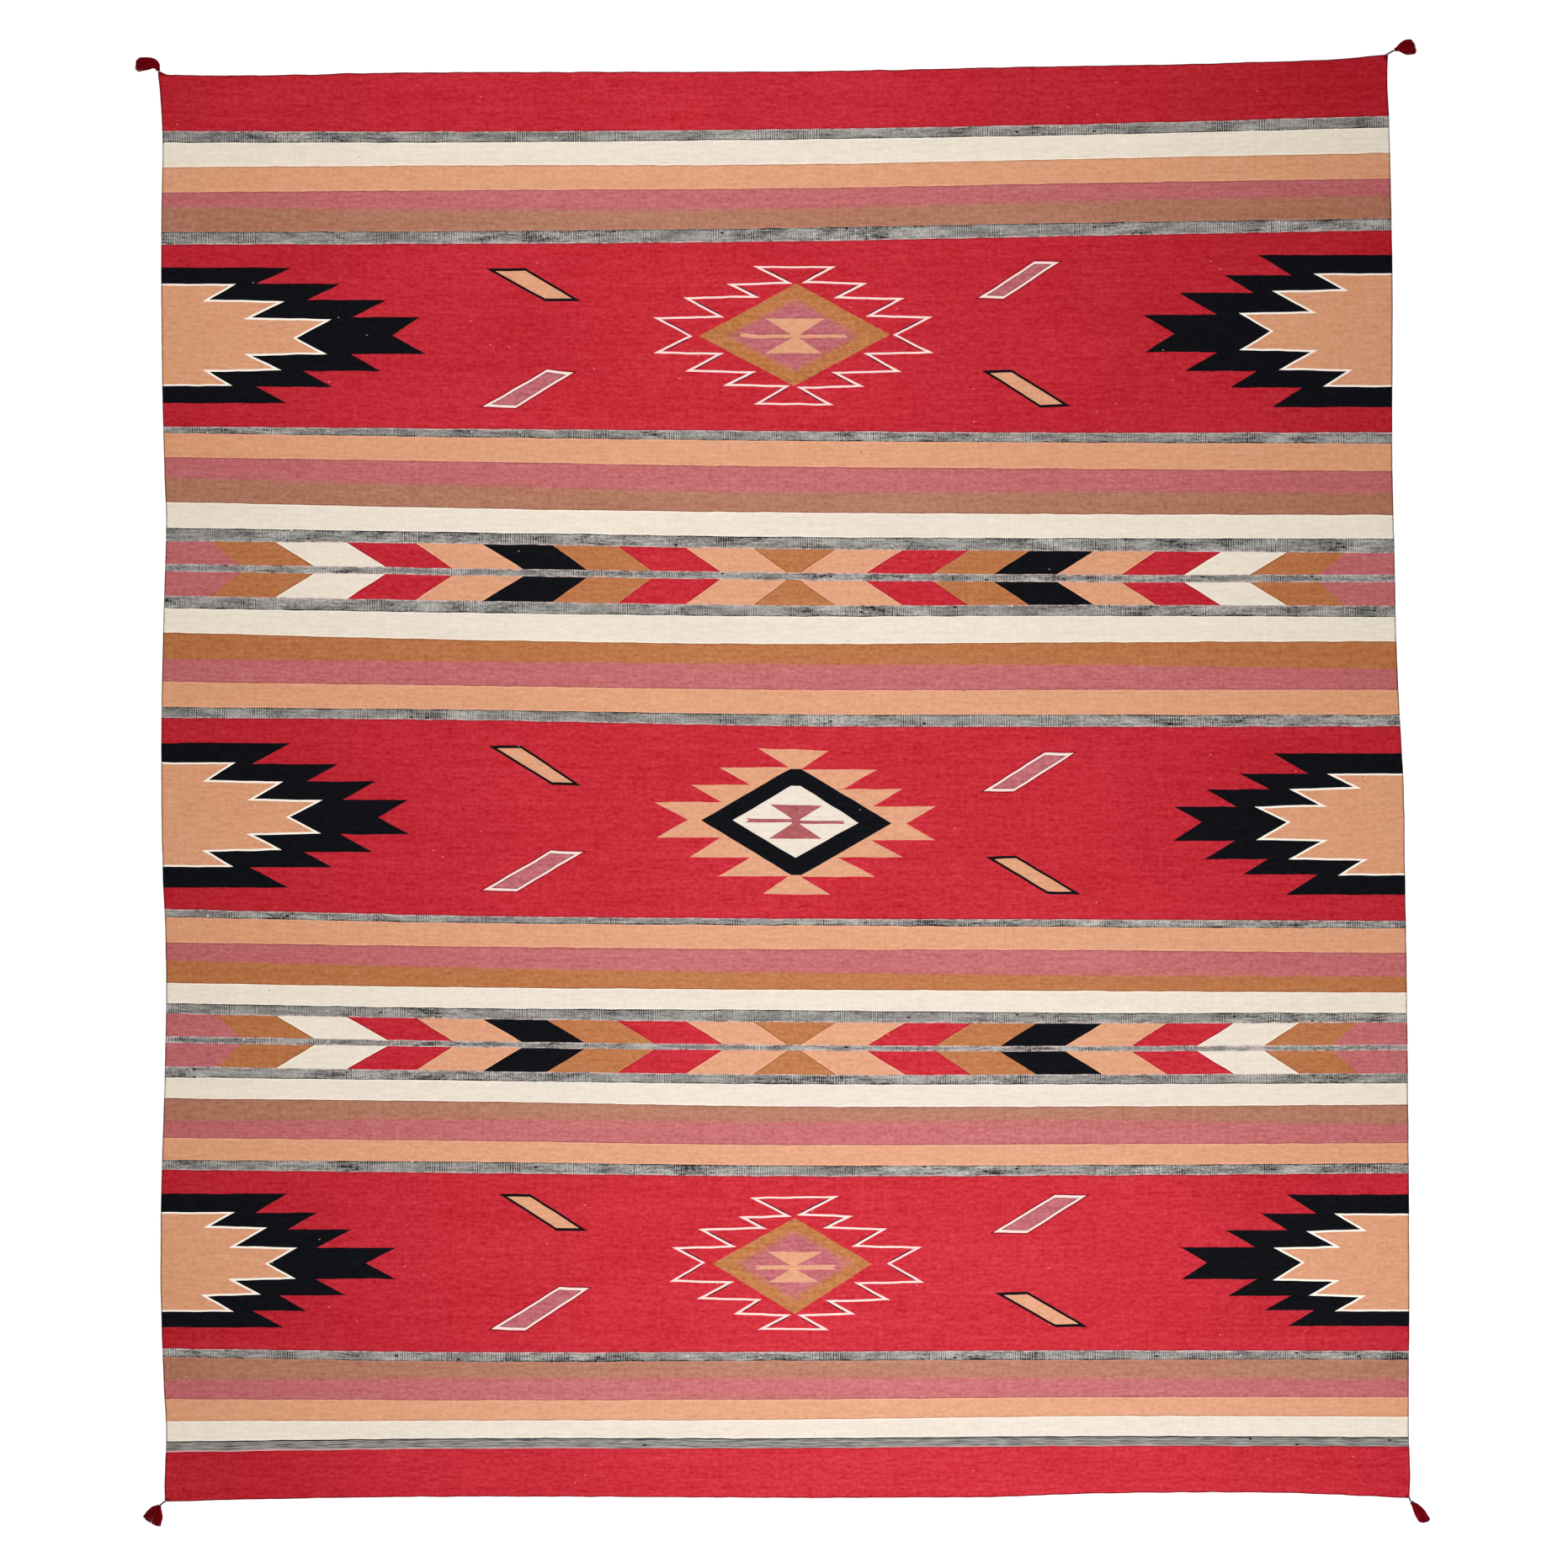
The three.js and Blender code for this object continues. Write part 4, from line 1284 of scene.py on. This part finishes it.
PLY_RADIUS = 1.15
PLY_OFFSET = 0.95  # how far each ply lies from the cord's middle
PLY_SIDES = 7
CORD_HEIGHT = 2.2  # the cord's middle above the floor
CORD_LAY = 6.5  # length of one full turn of the plies
CORD_TUCK = 5.0  # how far the cord starts inside the cloth's corner


def smooth_share(value):
    value = min(max(value, 0.0), 1.0)
    return value * value * (3 - 2 * value)


def tube(path, radii, sides):
    """A closed tube along a path: its vertices and faces."""
    path = [Vector(p) for p in path]
    vertices, faces = [], []
    for i, point in enumerate(path):
        ahead = (path[min(i + 1, len(path) - 1)] - path[max(i - 1, 0)]).normalized()
        left = Vector((-ahead.y, ahead.x, 0)).normalized()
        up = ahead.cross(left)
        for side in range(sides):
            angle = 2 * math.pi * side / sides
            vertices.append(point + (left * math.cos(angle) + up * math.sin(angle)) * radii[i])
    for i in range(len(path) - 1):
        for side in range(sides):
            a, b = i * sides + side, i * sides + (side + 1) % sides
            faces.append([a, a + sides, b + sides, b])
    faces.append(list(range(sides)))
    faces.append([len(vertices) - 1 - side for side in range(sides)])
    return vertices, faces


def joined_object(name, parts, material):
    """One object from many (vertices, faces) parts, smooth, with a value for each strand."""
    vertices, faces, values = [], [], []
    for number, (part_vertices, part_faces) in enumerate(parts):
        shift = len(vertices)
        vertices += [tuple(v * MM) for v in part_vertices]
        faces += [[i + shift for i in face] for face in part_faces]
        values += [number * 0.618034 % 1.0] * len(part_vertices)
    mesh = bpy.data.meshes.new(name)
    mesh.from_pydata(vertices, [], faces)
    mesh.attributes.new("strand", "FLOAT", "POINT").data.foreach_set("value", values)
    mesh.polygons.foreach_set("use_smooth", [True] * len(faces))
    mesh.materials.append(material)
    made = bpy.data.objects.new(name, mesh)
    bpy.context.scene.collection.objects.link(made)
    return made


def tassel_line(name):
    """Where a tassel lies: at a share of its length, its place, heading and width."""
    row = TASSELS[name]
    start, end = (math.radians(angle) for angle in row["headings"])
    place = Vector(CORNERS[name]) + Vector(row["cord"])
    steps = 50
    places = [place.copy()]

    def heading_at(share):
        return start + (end - start) * smooth_share(share / 0.55)

    for step in range(int(steps * 1.3)):
        heading = heading_at((step + 0.5) / steps)
        place += Vector((math.cos(heading), math.sin(heading))) * row["length"] / steps
        places.append(place.copy())

    def line_at(share):
        position = min(max(share * steps, 0), len(places) - 1.001)
        step = int(position)
        where = places[step].lerp(places[step + 1], position - step)
        opened = share / BELLY_SHARE
        if opened < 1:
            swell = math.sin(opened * math.pi / 2) ** row["flare"]
            width = NECK_WIDTH + (row["belly"] - NECK_WIDTH) * swell
        else:
            width = row["belly"] + (row["end"] - row["belly"]) * (share - BELLY_SHARE) / (1 - BELLY_SHARE)
        return where, heading_at(share), width

    return line_at


def make_tassel(name, material):
    """Cut yarn under a bound neck, spread and settled on the floor."""
    row, line = TASSELS[name], tassel_line(name)
    draw = random.Random("tassel " + name)
    length = row["length"]
    parts = []
    for _ in range(STRAND_COUNT):
        side, depth = draw.uniform(-1, 1), draw.random() ** 0.8
        fullness = math.sqrt(max(0.05, 1 - side * side))
        height = depth * fullness
        end = 1 + row["slant"] * side - 0.1 * side ** 4 + draw.uniform(-0.05, 0.03)
        sway, phase = draw.uniform(0.2, 0.9), draw.uniform(0, 6.28)
        path = []
        for step in range(STRAND_STEPS + 1):
            share = 0.04 + (end - 0.04) * step / STRAND_STEPS
            where, heading, width = line(share)
            settled = smooth_share(share / 0.4)
            opened = smooth_share(share * length / HEAD_LENGTH - 0.2)
            leftwards = Vector((-math.sin(heading), math.cos(heading)))
            reach = side * (width / 2 - STRAND_RADIUS) * (0.75 + 0.25 * opened)
            curl = sway * settled * math.sin(phase + 5.0 * share)
            at = where + leftwards * (reach + curl)
            root = HEAD_RADIUS + (height - 0.5 * fullness) * 5.0
            lying = STRAND_RADIUS + height * 5.2
            path.append((at.x, at.y, root + (lying - root) * settled))
        radii = [STRAND_RADIUS * (1 - 0.35 * step / STRAND_STEPS) for step in range(STRAND_STEPS + 1)]
        parts.append(tube(path, radii, STRAND_SIDES))
    parts.append(make_binding(line, length))
    return joined_object("tassel_yarn_" + name, parts, material)


def make_binding(line, length):
    """The turns of yarn that bind the tassel's neck."""
    turns, steps = BINDING_TURNS, 16
    path, radii = [], []
    for i in range(turns * steps + 1):
        share = i / (turns * steps)
        along = 1.0 + share * (HEAD_LENGTH - 2.0)
        where, heading, _ = line(along / length)
        angle = 2 * math.pi * i / steps
        reach = HEAD_RADIUS * (0.62 + 0.38 * math.sin(math.pi * min(1.0, 0.25 + share)))
        leftwards = Vector((-math.sin(heading), math.cos(heading)))
        at = where + leftwards * math.cos(angle) * reach
        path.append((at.x, at.y, HEAD_RADIUS + BINDING_LIFT + math.sin(angle) * reach * 0.95))
        radii.append(BINDING_RADIUS)
    return tube(path, radii, STRAND_SIDES)


def make_cord(name, material):
    """The two-ply cord from the cloth's corner into the tassel's neck."""
    row = TASSELS[name]
    corner = Vector(CORNERS[name])
    reach = Vector(row["cord"])
    heading = math.radians(row["headings"][0])
    away = reach.normalized()
    arrive = Vector((math.cos(heading), math.sin(heading)))
    start, end = corner - away * CORD_TUCK, corner + reach + arrive * 2.0
    pull = (end - start).length / 3
    knots = [start, start + away * pull, end - arrive * pull, end]
    run = sum((b - a).length for a, b in zip(knots, knots[1:]))
    steps = max(12, int(run * 1.6))
    parts = []
    for ply in range(2):
        path = []
        for step in range(steps + 1):
            t = step / steps
            weights = ((1 - t) ** 3, 3 * t * (1 - t) ** 2, 3 * t * t * (1 - t), t ** 3)
            at = sum((knot * weight for knot, weight in zip(knots, weights)), Vector((0, 0)))
            angle = 2 * math.pi * (t * run / CORD_LAY + ply / 2)
            side = math.cos(angle) * PLY_OFFSET
            height = CORD_HEIGHT + math.sin(angle) * PLY_OFFSET
            path.append((at.x - away.y * side, at.y + away.x * side, height))
        parts.append(tube(path, [PLY_RADIUS] * (steps + 1), PLY_SIDES))
    return joined_object("warp_cord_" + name, parts, material)


def strand_material(name, base, spread, streak):
    """Spun yarn seen strand by strand."""
    material = bpy.data.materials.new(name)
    material.use_nodes = True
    nodes = Nodes(material.node_tree)
    shader = material.node_tree.nodes["Principled BSDF"]
    shader.inputs["Specular IOR Level"].default_value = 0.08
    place = nodes.place("TexCoord").outputs["Object"]
    strand = nodes.place("Attribute", {"attribute_name": "strand"}).outputs["Fac"]
    fuzz = nodes.place("TexNoise", Vector=place, Scale=900.0, Detail=2.0).outputs["Fac"]
    tone = nodes.math("MULTIPLY_ADD", strand, spread, 1 - spread / 2)
    tone = nodes.math("MULTIPLY_ADD", nodes.math("SUBTRACT", fuzz, 0.5), streak, tone)
    toned = nodes.place("VectorMath", {"operation": "SCALE"}, Scale=tone)
    toned.inputs[0].default_value = base[:3]
    nodes.feed(shader.inputs["Base Color"], toned.outputs[0])
    bump = nodes.place("Bump", Strength=0.5, Distance=0.0003, Height=fuzz)
    nodes.feed(shader.inputs["Normal"], bump.outputs[0])
    nodes.feed(shader.inputs["Roughness"], nodes.remap(fuzz, 0.3, 0.7, 0.92, 0.78))
    return material


# The stage. A fit to how the light falls off over the photo gave the lamps' places and shares.

FLOOR_GLOW = 0.5  # the lit floor shows as pure white in the photo
WORLD_LIGHT = 0.145
LAMP_SIZE = 0.9
LAMPS = {"lower lamp": ((0.337, -1.742, 3.265), 90), "upper lamp": ((-0.32, 1.741, 3.236), 67)}


def make_camera():
    data = bpy.data.cameras.new("camera")
    data.sensor_width = SENSOR
    data.lens = SENSOR * VIEW_HEIGHT / VIEW_FIELD
    camera = bpy.data.objects.new("camera", data)
    camera.location = (*ORIGIN, VIEW_HEIGHT)
    bpy.context.scene.collection.objects.link(camera)
    bpy.context.scene.camera = camera


def make_floor():
    mesh = bpy.data.meshes.new("floor")
    reach = 14.0
    corners = [(-reach, -reach), (reach, -reach), (reach, reach), (-reach, reach)]
    mesh.from_pydata([(x, y, -0.0004) for x, y in corners], [], [[0, 1, 2, 3]])
    material = bpy.data.materials.new("floor")
    material.use_nodes = True
    shader = material.node_tree.nodes["Principled BSDF"]
    shader.inputs["Base Color"].default_value = (0.93, 0.93, 0.93, 1)
    shader.inputs["Roughness"].default_value = 0.9
    shader.inputs["Specular IOR Level"].default_value = 0.1
    shader.inputs["Emission Color"].default_value = (1, 1, 1, 1)
    shader.inputs["Emission Strength"].default_value = FLOOR_GLOW
    mesh.materials.append(material)
    floor = bpy.data.objects.new("floor", mesh)
    bpy.context.scene.collection.objects.link(floor)


def make_light(name, place, size, energy):
    data = bpy.data.lights.new(name, "AREA")
    data.shape = "DISK"
    data.size = size
    data.energy = energy
    light = bpy.data.objects.new(name, data)
    light.location = place
    bpy.context.scene.collection.objects.link(light)


def make_world(strength):
    world = bpy.data.worlds.new("studio")
    world.use_nodes = True
    world.node_tree.nodes["Background"].inputs[0].default_value = (1, 1, 1, 1)
    world.node_tree.nodes["Background"].inputs[1].default_value = strength
    bpy.context.scene.world = world


# The chart's middle lies under the frame's own cloth
cloth_low, cloth_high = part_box("rug_cloth")
chart_outline = cloth_outline()
ORIGIN = (
    (cloth_low.x + cloth_high.x) / 2 - (chart_outline[:, 0].min() + chart_outline[:, 0].max()) / 2 * MM,
    (cloth_low.y + cloth_high.y) / 2 - (chart_outline[:, 1].min() + chart_outline[:, 1].max()) / 2 * MM,
)

make_camera()
make_floor()
make_world(WORLD_LIGHT)
for lamp_name, (lamp_place, lamp_energy) in LAMPS.items():
    make_light(lamp_name, lamp_place, LAMP_SIZE, lamp_energy)
bpy.context.scene.view_settings.view_transform = "Standard"

rug = make_cloth(draw_chart(), cloth_materials())
maroon = strand_material("maroon tassel yarn", surface(124, 0, 14), 0.8, 0.8)
warp_cotton = strand_material("grey warp cord", surface(98, 96, 96), 0.1, 0.6)
trimmings = []
for corner_name in CORNERS:
    tassel = make_tassel(corner_name, maroon)
    cord = make_cord(corner_name, warp_cotton)
    trimmings += [tassel, cord]
    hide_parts("tassel_" + corner_name)
    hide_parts("corner_cord_" + corner_name)
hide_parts("rug_cloth")
for piece in (rug, *trimmings):
    piece.location = (*ORIGIN, 0)
    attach(piece, "root")
